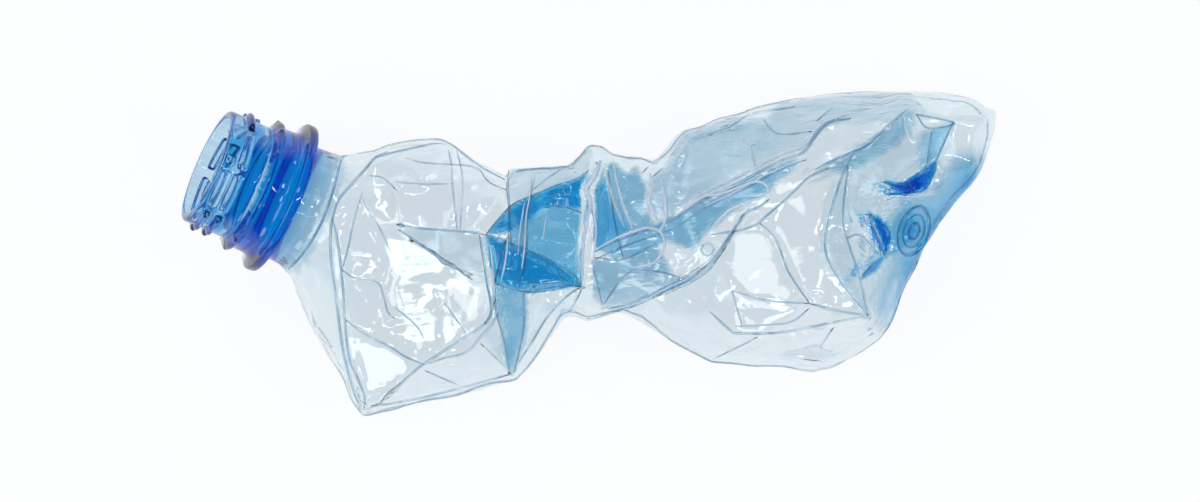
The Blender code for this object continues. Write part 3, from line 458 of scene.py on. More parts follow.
# Pale ribs that are painted highlights: the glints of the folds, drawn as matte white lines.
FOLD_HIGHLIGHTS = (
    (0.50, ((2.4, 19.6), (1.2, 16.4), (-0.5, 13.6), (0.3, 11), (0, 8.6))),
    (0.28, ((0.1, 9), (-0.7, 5), (-1.2, 1.5), (-1.3, -2), (-1.4, -6.4))),
    (0.22, ((0.8, 9.4), (1.5, 5), (1, 0), (0.8, -3))),
    (0.17, ((-12, 16), (-12.3, 12), (-13, 8), (-13.3, 2), (-13.9, -3))),
    (0.15, ((-13.3, 11), (-14.4, 4), (-14.6, 0))),
    (0.20, ((-16.7, 3.5), (-17.2, -1), (-18.2, -6))),
    (0.20, ((-20.4, 2), (-19.8, -3), (-19.4, -8.5))),
    (0.16, ((-8.6, 9), (-9.2, 6), (-9.4, 3))),
    (0.20, ((3.6, 17.6), (4.4, 14), (5.6, 10), (7.4, 5.6))),
    (0.24, ((5, 19), (5.8, 15), (7.4, 9.4), (9, 5.4))),
    (0.42, ((12.6, 16.8), (13.2, 14.4), (12.5, 11), (14.2, 7))),
    (0.36, ((14.9, 16), (15.8, 11), (15.8, 7), (14.4, 4.6))),
    (0.27, ((1, 0.7), (6, 3.5), (12, 5.5), (15, 4.4), (15.6, 1.6), (13.6, -1.6), (9, -2.8))),
    (0.27, ((18, 8), (23, 11.4), (28, 12.8), (34.6, 15), (36.9, 13.4), (35.6, 11.8), (29, 9.2), (24, 3.8))),
    (0.18, ((20, 10.8), (30, 15.6), (40, 20.6), (44.4, 22.4), (48, 26.8), (54, 29))),
    (0.15, ((24, 9.9), (31, 13.4), (36.6, 16.5), (44.6, 19.9))),
    (0.17, ((4, -11.6), (10.5, -9.8), (16, -7), (21.3, -4.5), (25, -1.5), (30.4, 6.5), (33, 9.5))),
    (0.24, ((33.4, 22.6), (34.2, 17.3))),
    (0.17, ((32, 24), (33.4, 22.6), (35.4, 23.4))),
)
HIGHLIGHT_LIFT = 0.2
SEAM_HEIGHT = 20.0
RING_CENTRE = (67.6, 4.8)
RING_LEAN = math.radians(74.0)
RING_FLATNESS = 0.64
RING_STEPS = 24
RINGS = ((0.36, 5.2), (0.26, 3.5), (0.34, 1.7))
RIB_STEP = 1.0
RIB_TAPER = 3.0
RIB_END = 0.08
RIB_ROUNDNESS = 2
RIB_MERGE = 0.002
CLOSED_WITHIN = 0.01
KNOT_FROM = 0.45
PINCH_GIRTH = 0.86


def rounded_path(path, step):
    """Points every step mm along a smooth curve through a path's corners, and their distance along it."""
    corners = [np.array(corner, dtype=float) for corner in path]
    corners = [2 * corners[0] - corners[1]] + corners + [2 * corners[-1] - corners[-2]]
    points = [corners[1]]
    for before, start, end, after in zip(corners, corners[1:], corners[2:], corners[3:]):
        count = max(1, round(float(np.linalg.norm(end - start)) / step))
        for index in range(1, count + 1):
            t = index / count
            points.append(0.5 * (
                2 * start + (end - before) * t + (2 * before - 5 * start + 4 * end - after) * t * t
                + (3 * start - before - 3 * end + after) * t ** 3))
    runs = np.linalg.norm(np.diff(points, axis=0), axis=1)
    return np.array(points), np.concatenate(([0.0], np.cumsum(runs)))


def dropped(tree, points):
    """Points seen from above, moved down onto the skin, with their heights evened out a little."""
    heights = np.array([top_height(tree, x, y) for x, y in points])
    known = ~np.isnan(heights)
    order = np.arange(len(heights))
    heights = np.interp(order, order[known], heights[known])
    padded = np.concatenate(([heights[0]], heights, [heights[-1]]))
    heights = (padded[:-2] + 2.0 * padded[1:-1] + padded[2:]) / 4.0
    return np.column_stack((points, heights))


def ring_path(radius):
    """A circle on the slanting base, seen from above as an oval."""
    along = np.array((math.cos(RING_LEAN), math.sin(RING_LEAN)))
    across = np.array((-along[1], along[0])) * RING_FLATNESS
    turns = np.linspace(0.0, math.tau, RING_STEPS + 1)
    offsets = [along * math.cos(turn) + across * math.sin(turn) for turn in turns]
    return [tuple(RING_CENTRE + radius * offset) for offset in offsets]


def nearest(tree, points, height):
    """The skin's nearest points to points at a height in mm."""
    return np.array([tree.find_nearest(Vector((x, y, height)) * MM)[0] for x, y in points]) / MM


def ribs_along(lines, tree, girth, raised=0.0):
    """Closed round ribs along paths; lines hold radius, path and whether it's dropped from above."""
    ribs = bpy.data.curves.new("ribs", "CURVE")
    ribs.dimensions = "3D"
    ribs.bevel_depth = MM
    ribs.bevel_resolution = RIB_ROUNDNESS
    ribs.use_fill_caps = True
    for radius, path, from_above in lines:
        radius *= girth
        points, along = rounded_path(path, RIB_STEP)
        laid = dropped(tree, points) if from_above else nearest(tree, points, SEAM_HEIGHT)
        lift = radius + raised if from_above else 0.0
        spline = ribs.splines.new("POLY")
        closed = math.dist(path[0], path[-1]) < CLOSED_WITHIN
        if closed:
            laid, along = laid[:-1], along[:-1]
            spline.use_cyclic_u = True
        spline.points.add(len(laid) - 1)
        for point, (x, y, z), here in zip(spline.points, laid, along):
            end = 1.0 if closed else min(here, along[-1] - here) / RIB_TAPER
            point.co = (x * MM, y * MM, (z + lift) * MM, 1.0)
            point.radius = radius * math.sqrt(min(1.0, RIB_END + end))
    holder = bpy.data.objects.new("ribs", ribs)
    mesh = bpy.data.meshes.new_from_object(holder)
    bpy.data.objects.remove(holder)
    solid = bmesh.new()
    solid.from_mesh(mesh)
    bmesh.ops.remove_doubles(solid, verts=solid.verts, dist=RIB_MERGE * MM)
    return solid


skin_tree = BVHTree.FromBMesh(skin)
lines = [(radius, path, True) for radius, path in CREASES]
lines += [(radius, ring_path(size), True) for radius, size in RINGS]
lines += [(radius, path, False) for radius, path in EDGE_RIBS]
pinched = ribs_along([line for line in lines if line[0] < KNOT_FROM], skin_tree, PINCH_GIRTH)
knots = ribs_along([line for line in lines if line[0] >= KNOT_FROM], skin_tree, 1.0)
# The painted fold highlights, lifted a little off the skin.
painted_highlights = ribs_along([(radius, path, True) for radius, path in FOLD_HIGHLIGHTS], skin_tree, 1.0, HIGHLIGHT_LIFT)
print("ribs:", len(lines), "faces:", len(pinched.faces) + len(knots.faces), "whitened:", len(FOLD_HIGHLIGHTS))

# %% [markdown]
# The wall has a real thickness, because clear plastic shows it: light bends as it goes in and again as
# it comes out, and an edge seen end-on looks dark. A blown wall is thin, about a quarter of a
# millimetre. A second skin is a copy of the first, moved in along its normals and turned round. Towards
# the neck the wall thickens, and there the copy moves straight in to the neck's axis.

# %% The inner skin
WALL = 0.24
NECK_WALL = 0.9
THICK_FROM, THICK_OVER = -6.6, 2.0
THICK_REACH = 14.5
inner = skin.copy()
inner.normal_update()
axial = neck_heights(coordinates(inner.verts))
near_neck = np.array([off_axis(vert.co) < THICK_REACH for vert in inner.verts])
thickness = WALL + near_neck * (NECK_WALL - WALL) * smooth_share((axial - THICK_FROM) / THICK_OVER)
shifts = []
for vert, thick, height in zip(inner.verts, thickness, axial):
    outward = vert.normal.copy()
    if thick > WALL:
        outward = (vert.co - neck_centre - neck_axis * float(height) * MM).normalized()
    shifts.append(outward * float(thick) * MM)
for vert, shift in zip(inner.verts, shifts):
    vert.co -= shift
bmesh.ops.reverse_faces(inner, faces=inner.faces)
print("inner skin:", len(inner.faces), "faces")

# %% [markdown]
# The neck finish is a moulded ring of thick plastic. It is a turned shape, so its section is drawn once,
# as pairs of radius and height in mm, and spun about the neck's axis. The section runs from the body up
# the outside, over the rim and down the bore, so it stays open at both ends, where it joins the wall.

# %% Turning the neck finish
BORE_RADIUS = 10.87
THREAD_ROOT = 12.47
THREAD_LOW, THREAD_HIGH = 8.3, 16.3
THREAD_ROWS = 30
NECK_SEGMENTS = 192
NECK_MERGE = 0.001
below_thread = [
    (12.85, -4.2), (12.75, -3.2), (12.65, -1.9), (12.75, -1.4), (13.1, -1.15), (14.0, -1.05), (15.9, -1.0),
    (16.25, -0.93), (16.43, -0.78), (16.5, -0.55), (16.5, 0.5), (16.43, 0.72), (16.25, 0.88), (15.9, 0.97),
    (14.9, 1.2), (14.2, 1.6), (13.8, 2.2), (13.65, 3.0), (13.6, 4.0), (13.6, 5.1), (13.7, 5.45),
    (14.15, 5.7), (14.35, 5.85), (14.46, 6.05), (14.46, 6.55), (14.35, 6.75), (14.1, 6.95), (13.0, 7.4),
    (12.7, 7.6), (12.55, 7.95)]
thread_zone = [
    (THREAD_ROOT, THREAD_LOW + (THREAD_HIGH - THREAD_LOW) * row / THREAD_ROWS)
    for row in range(THREAD_ROWS + 1)]
rim = [
    (12.44, 16.55), (12.34, 16.8), (12.1, 16.95), (11.8, 17.0), (11.3, 17.0), (11.05, 16.93), (10.92, 16.75)]
bore = [
    (BORE_RADIUS, 16.4), (BORE_RADIUS, 12.0), (BORE_RADIUS, 8.0), (BORE_RADIUS, 4.0), (BORE_RADIUS, 0.0),
    (10.95, -1.2), (11.25, -2.4), (11.6, -3.4), (11.9, -4.2)]
neck = bmesh.new()
profile = below_thread + thread_zone + rim + bore
section = [neck.verts.new((radius, 0.0, height)) for radius, height in profile]
section_edges = [neck.edges.new(pair) for pair in zip(section, section[1:])]
bmesh.ops.spin(
    neck, geom=section + section_edges, cent=(0, 0, 0), axis=(0, 0, 1), angle=math.tau,
    steps=NECK_SEGMENTS, use_merge=True)
bmesh.ops.remove_doubles(neck, verts=neck.verts, dist=NECK_MERGE)
bmesh.ops.recalc_face_normals(neck, faces=neck.faces)
collar_face = max(neck.faces, key=lambda face: face.calc_center_median().xy.length)
if collar_face.normal.dot(Vector((*collar_face.calc_center_median().xy, 0.0))) < 0.0:
    bmesh.ops.reverse_faces(neck, faces=neck.faces)
print("neck finish:", len(neck.faces), "faces")

# %% [markdown]
# The screw thread is a ridge that winds up the ring at 2.7 mm a turn for nearly two turns. It is cut
# through by narrow vent slots, which let the gas out as the cap is undone. Each point of the fine ring
# finds how far it is from the ridge's middle line and from each slot, and moves out as much as they
# allow. Small pips are raised on the upper slope of the tamper bead in the same way.

# %% Raising the thread and the pips on the tamper bead
PITCH = 2.7
THREAD_START = 10.15
THREAD_TURN = math.radians(650.0)
THREAD_HEIGHT = 1.2
CREST_HALF, FOOT_HALF = 0.3, 0.95
RUN_IN = 0.3
OUTSIDE_FROM = THREAD_ROOT - 0.2
VENTS = tuple(math.radians(angle) for angle in (8, 52, 98, 188, 232, 278, 322))
VENT_HALF = math.radians(3.6)
VENT_EDGE = math.radians(4.0)
PIP_COUNT, PIP_PHASE = 12, math.radians(5.0)
PIP_AT, PIP_HEIGHT, PIP_RADIUS = 6.95, 0.4, 0.55


def thread_rise(turn, height):
    """How far the thread stands off the ring at an angle and a height."""
    rise = 0.0
    for lap in (0, 1):
        wound = turn + math.tau * lap
        if wound > THREAD_TURN:
            continue
        off_middle = abs(height - THREAD_START - PITCH * wound / math.tau)
        ridge = smooth_share((FOOT_HALF - off_middle) / (FOOT_HALF - CREST_HALF))
        ends = smooth_share(wound / RUN_IN) * smooth_share((THREAD_TURN - wound) / RUN_IN)
        rise = max(rise, ridge * ends)
    for vent in VENTS:
        away = abs((turn - vent + math.pi) % math.tau - math.pi)
        rise *= smooth_share((away - VENT_HALF) / VENT_EDGE)
    return rise * THREAD_HEIGHT


def pip_rise(turn, height, radius):
    """The small pips on the upper slope of the bead."""
    step = math.tau / PIP_COUNT
    away = ((turn - PIP_PHASE + step / 2) % step - step / 2) * radius
    return PIP_HEIGHT * math.exp(-(away * away + (height - PIP_AT) ** 2) / PIP_RADIUS ** 2)


for vert in neck.verts:
    radius = vert.co.xy.length
    turn = math.atan2(vert.co.y, vert.co.x) % math.tau
    height = vert.co.z
    if radius < OUTSIDE_FROM:
        continue
    grow = pip_rise(turn, height, radius) if height < THREAD_LOW else thread_rise(turn, height)
    vert.co.xy *= 1.0 + grow / radius
bmesh.ops.transform(neck, matrix=neck_frame @ Matrix.Scale(MM, 4), verts=neck.verts)
print("thread turns:", round(THREAD_TURN / math.tau, 2), "vents:", len(VENTS))

# %% [markdown]
# The three skins are put in one mesh, and the open rings are bridged: the outside of the body to the
# outside of the neck, and the inside to the bore. The result is one closed wall with an open mouth. The
# ribs and the knots are closed solids of their own and come last, so that they can be told apart.

# %% Joining the neck to the wall
whole = bmesh.new()
ring_edges = []
first_rib_vert = sum(len(part.verts) for part in (skin, inner, neck))
first_knot_vert = first_rib_vert + len(pinched.verts)
for part in (skin, inner, neck, pinched, knots):
    before = len(whole.edges)
    working_mesh = to_mesh("part", part)
    whole.from_mesh(working_mesh)
    bpy.data.meshes.remove(working_mesh)
    whole.edges.ensure_lookup_table()
    open_edges = [edge for edge in whole.edges[before:] if len(edge.link_faces) == 1]
    ring_edges.append(open_edges)
neck_rings = sorted(ring_edges[2], key=lambda edge: off_axis(edge.verts[0].co))
half = len(neck_rings) // 2
bmesh.ops.bridge_loops(whole, edges=ring_edges[0] + neck_rings[half:])
bmesh.ops.bridge_loops(whole, edges=ring_edges[1] + neck_rings[:half])
bmesh.ops.triangulate(whole, faces=[face for face in whole.faces if len(face.verts) > 4])
bmesh.ops.recalc_face_normals(whole, faces=whole.faces)
if whole.calc_volume(signed=True) < 0.0:
    bmesh.ops.reverse_faces(whole, faces=whole.faces)
still_open = sum(1 for edge in whole.edges if len(edge.link_faces) != 2)
print("closed wall and ribs:", len(whole.faces), "faces, open edges:", still_open,
      "plastic, cm3:", round(whole.calc_volume() * 1e6, 2))

# %% [markdown]
# The blue is strongest where the plastic is thick or lies in several layers: in the neck finish, in
# the twisted waist and in the foot of the base. How deep the blue is goes into a vertex attribute that
# the material reads, from 0 in the thin wall to 1 in the foot. The patches are outlines in mm, seen from
# above, and the neck has bands, each from its own height up to the next. Along the twisted ribbon in the
# waist the blue is taken out, so that the strip shows pale: a painted highlight where it reflects the
# light. Two more attributes say where the wall is streaked by stretching, and what is a pinched rib, which
# the material darkens as painted shade.

# %% How deep the blue is at each point
BLUE_PATCHES = (
    (0.78, ((-21.3, 4), (-18, 8), (-15.5, 10.5), (-12, 12.1), (-7, 14.3), (-3, 15.6), (0.4, 17.6),
        (-0.6, 13.4), (-0.2, 9.4), (-5, 9.8), (-9.4, 9.8), (-12.6, 7), (-15.8, 5))),
    (0.50, ((-15.8, 5), (-12.6, 7), (-9.4, 9.8), (-5, 9.8), (-0.4, 9), (-1.2, 2), (-1.5, -4),
        (-3, -4.5), (-8, -1.3), (-12, 0.5), (-17, 2.5))),
    (0.78, ((-21.3, 4), (-17, 2.5), (-12, 0.5), (-8, -1.3), (-3, -4.5), (-1.5, -6.6), (-8, -7.2),
        (-13, -7.8), (-19.5, -6), (-20.6, -1))),
    (0.42, ((-19.4, -6.2), (-13.4, -7.8), (-13.4, -13), (-13.8, -17), (-15.6, -25), (-17, -24.4),
        (-18.2, -16), (-19.2, -12))),
    (0.13, ((-17, 17.8), (-12, 18.3), (-2.4, 20.6), (0, 22.8), (1.6, 20), (0.4, 17.6), (-3, 15.6),
        (-7, 14.3), (-12, 12.1), (-15.5, 10.5), (-17.6, 12))),
    (0.62, ((0.6, 17), (2.4, 19.6), (3.4, 16), (5, 10), (8.6, 5), (5, 3), (2, 1), (0.8, 3), (1.4, 9))),
    (0.34, ((3.4, 18), (5, 19.6), (8, 17), (10, 18.6), (12, 14), (11.6, 9), (14, 6.4), (9, 4.4), (6, 8))),
    (0.28, ((0.8, -1), (8, -1.2), (14, 2), (18, -4.6), (8, -4.2), (3, -11), (0.8, -9))),
    (0.22, ((3, -11), (8, -4.2), (18, -4.6), (21.4, -5), (16, -7.6), (10, -9.8), (5, -11.4))),
    (0.38, ((1.4, 1.4), (6, 3.4), (12, 5.4), (18, 8), (23, 11), (29, 13.6), (36, 17), (42, 19.6), (43, 18.4),
        (36, 12), (29, 9), (24, 4), (22, 1), (16, 3), (12, 0), (6, -1))),
    (0.19, ((12, 9), (13, 16), (15.6, 18), (20, 25.6), (30, 28.6), (37, 28.4), (41, 21.6), (31, 15.6),
        (22, 11.4), (16, 8))),
    (0.18, ((37, 28.4), (40, 31.6), (55, 33.6), (67, 33.6), (70, 29), (62, 28.4), (54, 28), (48, 26),
        (44, 21.4), (41, 21.6))),
    (0.30, ((46, 17), (54, 21), (62, 26.6), (66, 29.6), (67.6, 27), (66, 24), (58, 19), (53.6, 17))),
    (0.12, ((53.6, 17), (58, 19), (66, 24), (74, 27), (76, 20), (70, 12), (66, 0), (60, -10), (57, -12),
        (52, -6), (49, 2), (51, 14))),
    (0.10, ((-21.4, -14.3), (-20.2, -12), (-21, -6), (-24, -4.4), (-31, -0.6), (-39.4, 5.4), (-30, 5),
        (-21.4, 4), (-22, -1), (-20, -8), (-18.8, -16), (-17.4, -23.4), (-21.6, -18.6))),
    (0.40, ((62.6, 0.4), (64.6, -6.6), (68.6, -2.6), (71.6, 3.2), (76, 9.6), (72, 12.4), (66.5, 11.6),
        (63, 7))),
    (0.58, ((64.4, 1.4), (66.2, -3.6), (68.6, -2.6), (71.6, 3.2), (74.6, 8), (71, 10.6), (66.8, 10),
        (64.4, 6.4))),
    (0.50, ((66.4, -0.6), (69.6, -0.4), (71.6, 3), (71.6, 7), (69.4, 10.4), (66, 10.2), (64, 6.4),
        (64, 2.4))),
    (0.72, ((66.6, 1.6), (69, 2), (70.2, 5), (69, 8), (66.6, 7.8), (65.4, 4.6))),
    (1.00, ((60.2, 15.5), (65, 14.6), (68.4, 16.6), (72.4, 19.8), (71.4, 16.4), (69.9, 13.3), (65.5, 12.2))),
    (1.00, ((57.2, 8.9), (59.8, 7.9), (62.1, 5.9), (62.9, 3.5), (62.4, 1), (61.2, -0.8), (60.9, 2),
        (60, 5))),
    (0.95, ((55.4, -5.4), (57.6, -2.6), (61, 0), (61.2, -1.2), (59.4, -3.6))),
    (0.45, ((70, 17.5), (70.8, 25.5), (75.7, 27.4), (71.9, 18.8))),
)
# Painted highlight: along this twisted ribbon the blue is taken out, so that it shows pale where it reflects
# the light.
PALE_RIBBON_HIGHLIGHT = (
    (0.8, 20.8), (3.6, 20), (2.6, 16.6), (1.2, 13.6), (1.1, 9.5), (-0.2, 2), (-0.7, -6.4), (-2, -6.4),
    (-2.2, 2), (-1.5, 8.8), (-2, 13.4), (-0.4, 16.8))
BASE_EDGE = ((80.4, 15.4), (76, 9.6), (71.6, 3.2), (68.6, -2.6), (66, -8), (64.6, -11.4))
BASE_EDGE_BLUE, BASE_EDGE_REACH, BASE_EDGE_FADE = 0.86, 8.0, 1.3
PATCH_SOFTNESS = 0.5
RIB_SHARE = 0.5
STREAKS_LEAST, STREAKS_PER_BLUE = 0.15, 4.0
SHOULDER_FROM, COLLAR_FROM = -8.4, -1.3
NECK_BLUE_REACH = 17.5
NECK_BLUES = (
    (SHOULDER_FROM, 0.24), (COLLAR_FROM, 0.90), (1.1, 0.95), (7.4, 0.05), (9.5, 0.85), (11.8, 0.03),
    (16.4, 0.20))
places = coordinates(whole.verts)
axial = neck_heights(places)
offset = places - np.array(neck_centre) / MM
radial = np.linalg.norm(offset - axial[:, None] * np.array(neck_axis), axis=1)
near_neck = (axial > SHOULDER_FROM) & (radial < NECK_BLUE_REACH)
on_neck = near_neck & (axial > COLLAR_FROM)
blue = np.zeros(len(places))
for height, depth in NECK_BLUES:
    blue = np.where(near_neck & (axial > height), depth, blue)
plan = places[:, :2]
for depth, corners in BLUE_PATCHES:
    edge_away = path_distance(plan, corners + corners[:1])
    signed = np.where(inside_patch(plan, corners), edge_away, -edge_away)
    cover = np.clip(signed / PATCH_SOFTNESS + 0.5, 0.0, 1.0) * depth
    blue = np.where(on_neck, blue, np.maximum(blue, cover))
blue = np.where(inside_patch(plan, PALE_RIBBON_HIGHLIGHT), 0.0, blue)
is_rib = np.arange(len(blue)) >= first_rib_vert
# Pinched ribs are marked for the painted crease shade in the material.
pinch_shade_mask = is_rib & (np.arange(len(blue)) < first_knot_vert)
streaked = np.where(near_neck | is_rib, 0.0, np.clip(STREAKS_LEAST + STREAKS_PER_BLUE * blue, 0.0, 1.0))
blue = np.where(is_rib, RIB_SHARE * blue, blue)
edge_near = np.clip(1.0 - path_distance(plan, BASE_EDGE) / BASE_EDGE_REACH, 0.0, 1.0)
blue = np.where(on_neck, blue, np.maximum(blue, BASE_EDGE_BLUE * edge_near ** BASE_EDGE_FADE))
print("mean depth of blue:", round(float(blue.mean()), 3))

# %% The bottle as an object that stands for the construction node
bottle_mesh = to_mesh("bottle_body", whole)
for name, values in (("blue", blue), ("streaks", streaked), ("pinch_shade", pinch_shade_mask)):
    attribute = bottle_mesh.attributes.new(name, "FLOAT", "POINT")
    attribute.data.foreach_set("value", values.astype(np.float32))
bottle_mesh.shade_smooth()
bottle = put_in_scene("bottle_body", bottle_mesh)
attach(bottle, "root")
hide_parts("bottle")
print("bottle triangles:", sum(len(face.vertices) - 2 for face in bottle_mesh.polygons))

# %% [markdown]
# A few helpers add a shader node and fill its inputs, so that each material below reads as what it is
# made of.

# %% Helpers for materials
def new_material(name):
    """A new material and its node tree."""
    material = bpy.data.materials.new(name)
    material.use_nodes = True
    return material, material.node_tree


def fill(node, inputs):
    """Fills a node's inputs: another node's output is linked, and anything else is the value itself."""
    for label, value in inputs.items():
        if isinstance(value, bpy.types.NodeSocket):
            node.id_data.links.new(value, node.inputs[label])
        else:
            node.inputs[label].default_value = value


def add_node(tree, kind, inputs):
    """A new shader node with its inputs filled."""
    node = tree.nodes.new(kind)
    fill(node, inputs)
    return node


def maths(tree, operation, first, second):
    """A sum, product or maximum of two values, each an output or a number."""
    node = tree.nodes.new("ShaderNodeMath")
    node.operation = operation
    fill(node, {0: first, 1: second})
    return node.outputs[0]


def spread(tree, value, given, wanted):
    """A value moved from a given range of two numbers to a wanted one."""
    return add_node(tree, "ShaderNodeMapRange", {
        "Value": value, "From Min": given[0], "From Max": given[1],
        "To Min": wanted[0], "To Max": wanted[1]}).outputs["Result"]


def own_value(tree, name):
    """One of the vertex attributes of the mesh."""
    node = tree.nodes.new("ShaderNodeAttribute")
    node.attribute_name = name
    return node.outputs["Fac"]


def colour_ramp(tree, value, stops):
    """The colour for a value, from stops that each hold a position and a colour."""
    ramp = add_node(tree, "ShaderNodeValToRGB", {"Fac": value})
    stop_row = ramp.color_ramp.elements
    stop_row[0].position, stop_row[0].color = stops[0]
    stop_row[1].position, stop_row[1].color = stops[-1]
    for position, colour in stops[1:-1]:
        stop_row.new(position).color = colour
    return ramp.outputs["Color"]


print("helpers ready")

# %% [markdown]
# What changes over the clear plastic is one node group: the blue of the wall from pale to deep, the
# pinched ribs darkened unevenly on top of it, partly for their doubled plastic and partly as painted shade
# of a fold seen edge-on, light scuffs in the roughness and fine streaks in the relief.

# %% The tint, painted crease shade, scuffs and streaks of the plastic
BLUES = (
    (0.00, (0.95, 0.958, 0.955, 1.0)),
    (0.15, (0.78, 0.845, 0.88, 1.0)),
    (0.30, (0.56, 0.72, 0.81, 1.0)),
    (0.50, (0.42, 0.70, 0.84, 1.0)),
    (0.80, (0.07, 0.49, 0.76, 1.0)),
    (0.90, (0.00, 0.46, 0.93, 1.0)),
    (1.00, (0.00, 0.19, 0.66, 1.0)),
)
# The pinched ribs are darkened, partly for the doubled plastic of the fold and partly as painted shade of a
# fold seen edge-on.
PINCH_TINT_AND_SHADE = (0.45, 0.62, 0.76, 1.0)
PINCH_GRAIN, PINCH_GRAIN_RANGE, PINCH_SHARES = 130.0, (0.35, 0.62), (0.10, 0.85)
SCUFF_GRAIN, SCUFF_DETAIL, SCUFF_RANGE = 90.0, 4.0, (0.45, 0.75)
SMOOTH_PLASTIC = 0.01
STREAK_TURN = math.radians(-27.0)
STREAK_GRAIN, STREAK_DETAIL = (90.0, 520.0, 260.0), 3.0
STREAK_STRENGTH, STREAK_HEIGHT = 0.7, 0.0004
MIX_FIRST, MIX_SECOND, MIX_RESULT = 6, 7, 2
tint = bpy.data.node_groups.new("plastic_tint_and_crease_shade", "ShaderNodeTree")
tint.interface.new_socket("Haze", in_out="INPUT", socket_type="NodeSocketFloat")
tint.interface.new_socket("Colour", in_out="OUTPUT", socket_type="NodeSocketColor")
tint.interface.new_socket("Roughness", in_out="OUTPUT", socket_type="NodeSocketFloat")
tint.interface.new_socket("Normal", in_out="OUTPUT", socket_type="NodeSocketVector")
given = tint.nodes.new("NodeGroupInput")
place = tint.nodes.new("ShaderNodeTexCoord").outputs["Object"]
blotches = add_node(tint, "ShaderNodeTexNoise", {"Vector": place, "Scale": PINCH_GRAIN})
uneven = spread(tint, blotches.outputs["Fac"], PINCH_GRAIN_RANGE, PINCH_SHARES)
colour_with_crease_shade = tint.nodes.new("ShaderNodeMix")
colour_with_crease_shade.data_type = "RGBA"
colour_with_crease_shade.blend_type = "MULTIPLY"
fill(colour_with_crease_shade, {
    0: maths(tint, "MULTIPLY", own_value(tint, "pinch_shade"), uneven),
    MIX_FIRST: colour_ramp(tint, own_value(tint, "blue"), BLUES),
    MIX_SECOND: PINCH_TINT_AND_SHADE})
scuffs = add_node(tint, "ShaderNodeTexNoise", {
    "Vector": place, "Scale": SCUFF_GRAIN, "Detail": SCUFF_DETAIL})
hazy = spread(tint, scuffs.outputs["Fac"], SCUFF_RANGE, (SMOOTH_PLASTIC, given.outputs["Haze"]))
stretched = add_node(tint, "ShaderNodeMapping", {
    "Vector": place, "Rotation": (0.0, 0.0, STREAK_TURN), "Scale": STREAK_GRAIN})
streaks = add_node(tint, "ShaderNodeTexNoise", {
    "Vector": stretched.outputs["Vector"], "Scale": 1.0, "Detail": STREAK_DETAIL})
relief = add_node(tint, "ShaderNodeBump", {
    "Strength": maths(tint, "MULTIPLY", own_value(tint, "streaks"), STREAK_STRENGTH),
    "Distance": STREAK_HEIGHT, "Height": streaks.outputs["Fac"]})
add_node(tint, "NodeGroupOutput", {
    "Colour": colour_with_crease_shade.outputs[MIX_RESULT], "Roughness": hazy, "Normal": relief.outputs["Normal"]})
print("node group:", tint.name, "nodes:", len(tint.nodes))

# %% [markdown]
# Clear plastic is a glass-like Principled surface: full transmission, the refraction of polyester and a
# low roughness. A Volume Absorption adds the blue that grows with the length of plastic that light goes
# through, which is what draws fine blue lines along folds seen edge-on.

# %% The clear blue plastic
POLYESTER_IOR = 1.57
HAZE = 0.035
DEEP_BLUE, DEEP_DENSITY = (0.12, 0.62, 0.88, 1.0), 350.0
plastic, tree = new_material("clear_blue_plastic")
tinted = tree.nodes.new("ShaderNodeGroup")
tinted.node_tree = tint
fill(tinted, {"Haze": HAZE})
fill(tree.nodes["Principled BSDF"], {
    "Base Color": tinted.outputs["Colour"],
    "Roughness": tinted.outputs["Roughness"],
    "Normal": tinted.outputs["Normal"],
    "Metallic": 0.0,
    "IOR": POLYESTER_IOR,
    "Transmission Weight": 1.0})
inside_blue = add_node(tree, "ShaderNodeVolumeAbsorption", {"Color": DEEP_BLUE, "Density": DEEP_DENSITY})
fill(tree.nodes["Material Output"], {"Volume": inside_blue.outputs["Volume"]})
bottle_mesh.materials.append(plastic)
print("material:", plastic.name)

# %% [markdown]
# These pale lines are painted highlights: the glints that the folds catch from the light are drawn as
# thin matte white ribs that scatter the light instead of letting it through, laid on top of the wall.

# %% The painted fold highlights
# A matte white that draws the folds' glints as painted highlights.
HIGHLIGHT_WHITE, HIGHLIGHT_ROUGHNESS = (0.96, 0.98, 1.0, 1.0), 0.30
highlight_mesh = to_mesh("painted_highlight_folds", painted_highlights)
highlight_mesh.shade_smooth()
highlight_object = put_in_scene("painted_highlight_folds", highlight_mesh)
highlight_paint, tree = new_material("painted_fold_highlight")
fill(tree.nodes["Principled BSDF"], {
    "Base Color": HIGHLIGHT_WHITE, "Roughness": HIGHLIGHT_ROUGHNESS, "IOR": POLYESTER_IOR})
highlight_mesh.materials.append(highlight_paint)
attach(highlight_object, "root")
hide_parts("bottle")
print("whitened folds:", len(highlight_mesh.polygons), "faces")

# %% [markdown]
# The bottle lies on a plain white floor. The floor is white to the camera, in reflections and through the
# plastic. A part of it stays plain matte, so that it still takes a faint soft shadow.

# %% Floor
FLOOR_SIZE = 6.0
FLOOR_DROP = 0.0002
FLOOR_WHITE, FLOOR_ROUGHNESS = (0.9, 0.9, 0.9, 1.0), 0.9
FLOOR_GLOW = 0.85
GLOW_STRENGTH = 1.07
ground = bmesh.new()
bmesh.ops.create_grid(ground, x_segments=1, y_segments=1, size=FLOOR_SIZE / 2)
bmesh.ops.translate(ground, verts=ground.verts, vec=(0.0, 0.0, -FLOOR_DROP))
floor = put_in_scene("floor", to_mesh("floor", ground))
paper, tree = new_material("white_paper")
matte = tree.nodes["Principled BSDF"]
fill(matte, {"Base Color": FLOOR_WHITE, "Roughness": FLOOR_ROUGHNESS, "Specular IOR Level": 0.0})
glow = add_node(tree, "ShaderNodeEmission", {"Color": (1.0, 1.0, 1.0, 1.0), "Strength": GLOW_STRENGTH})
rays = tree.nodes.new("ShaderNodeLightPath")
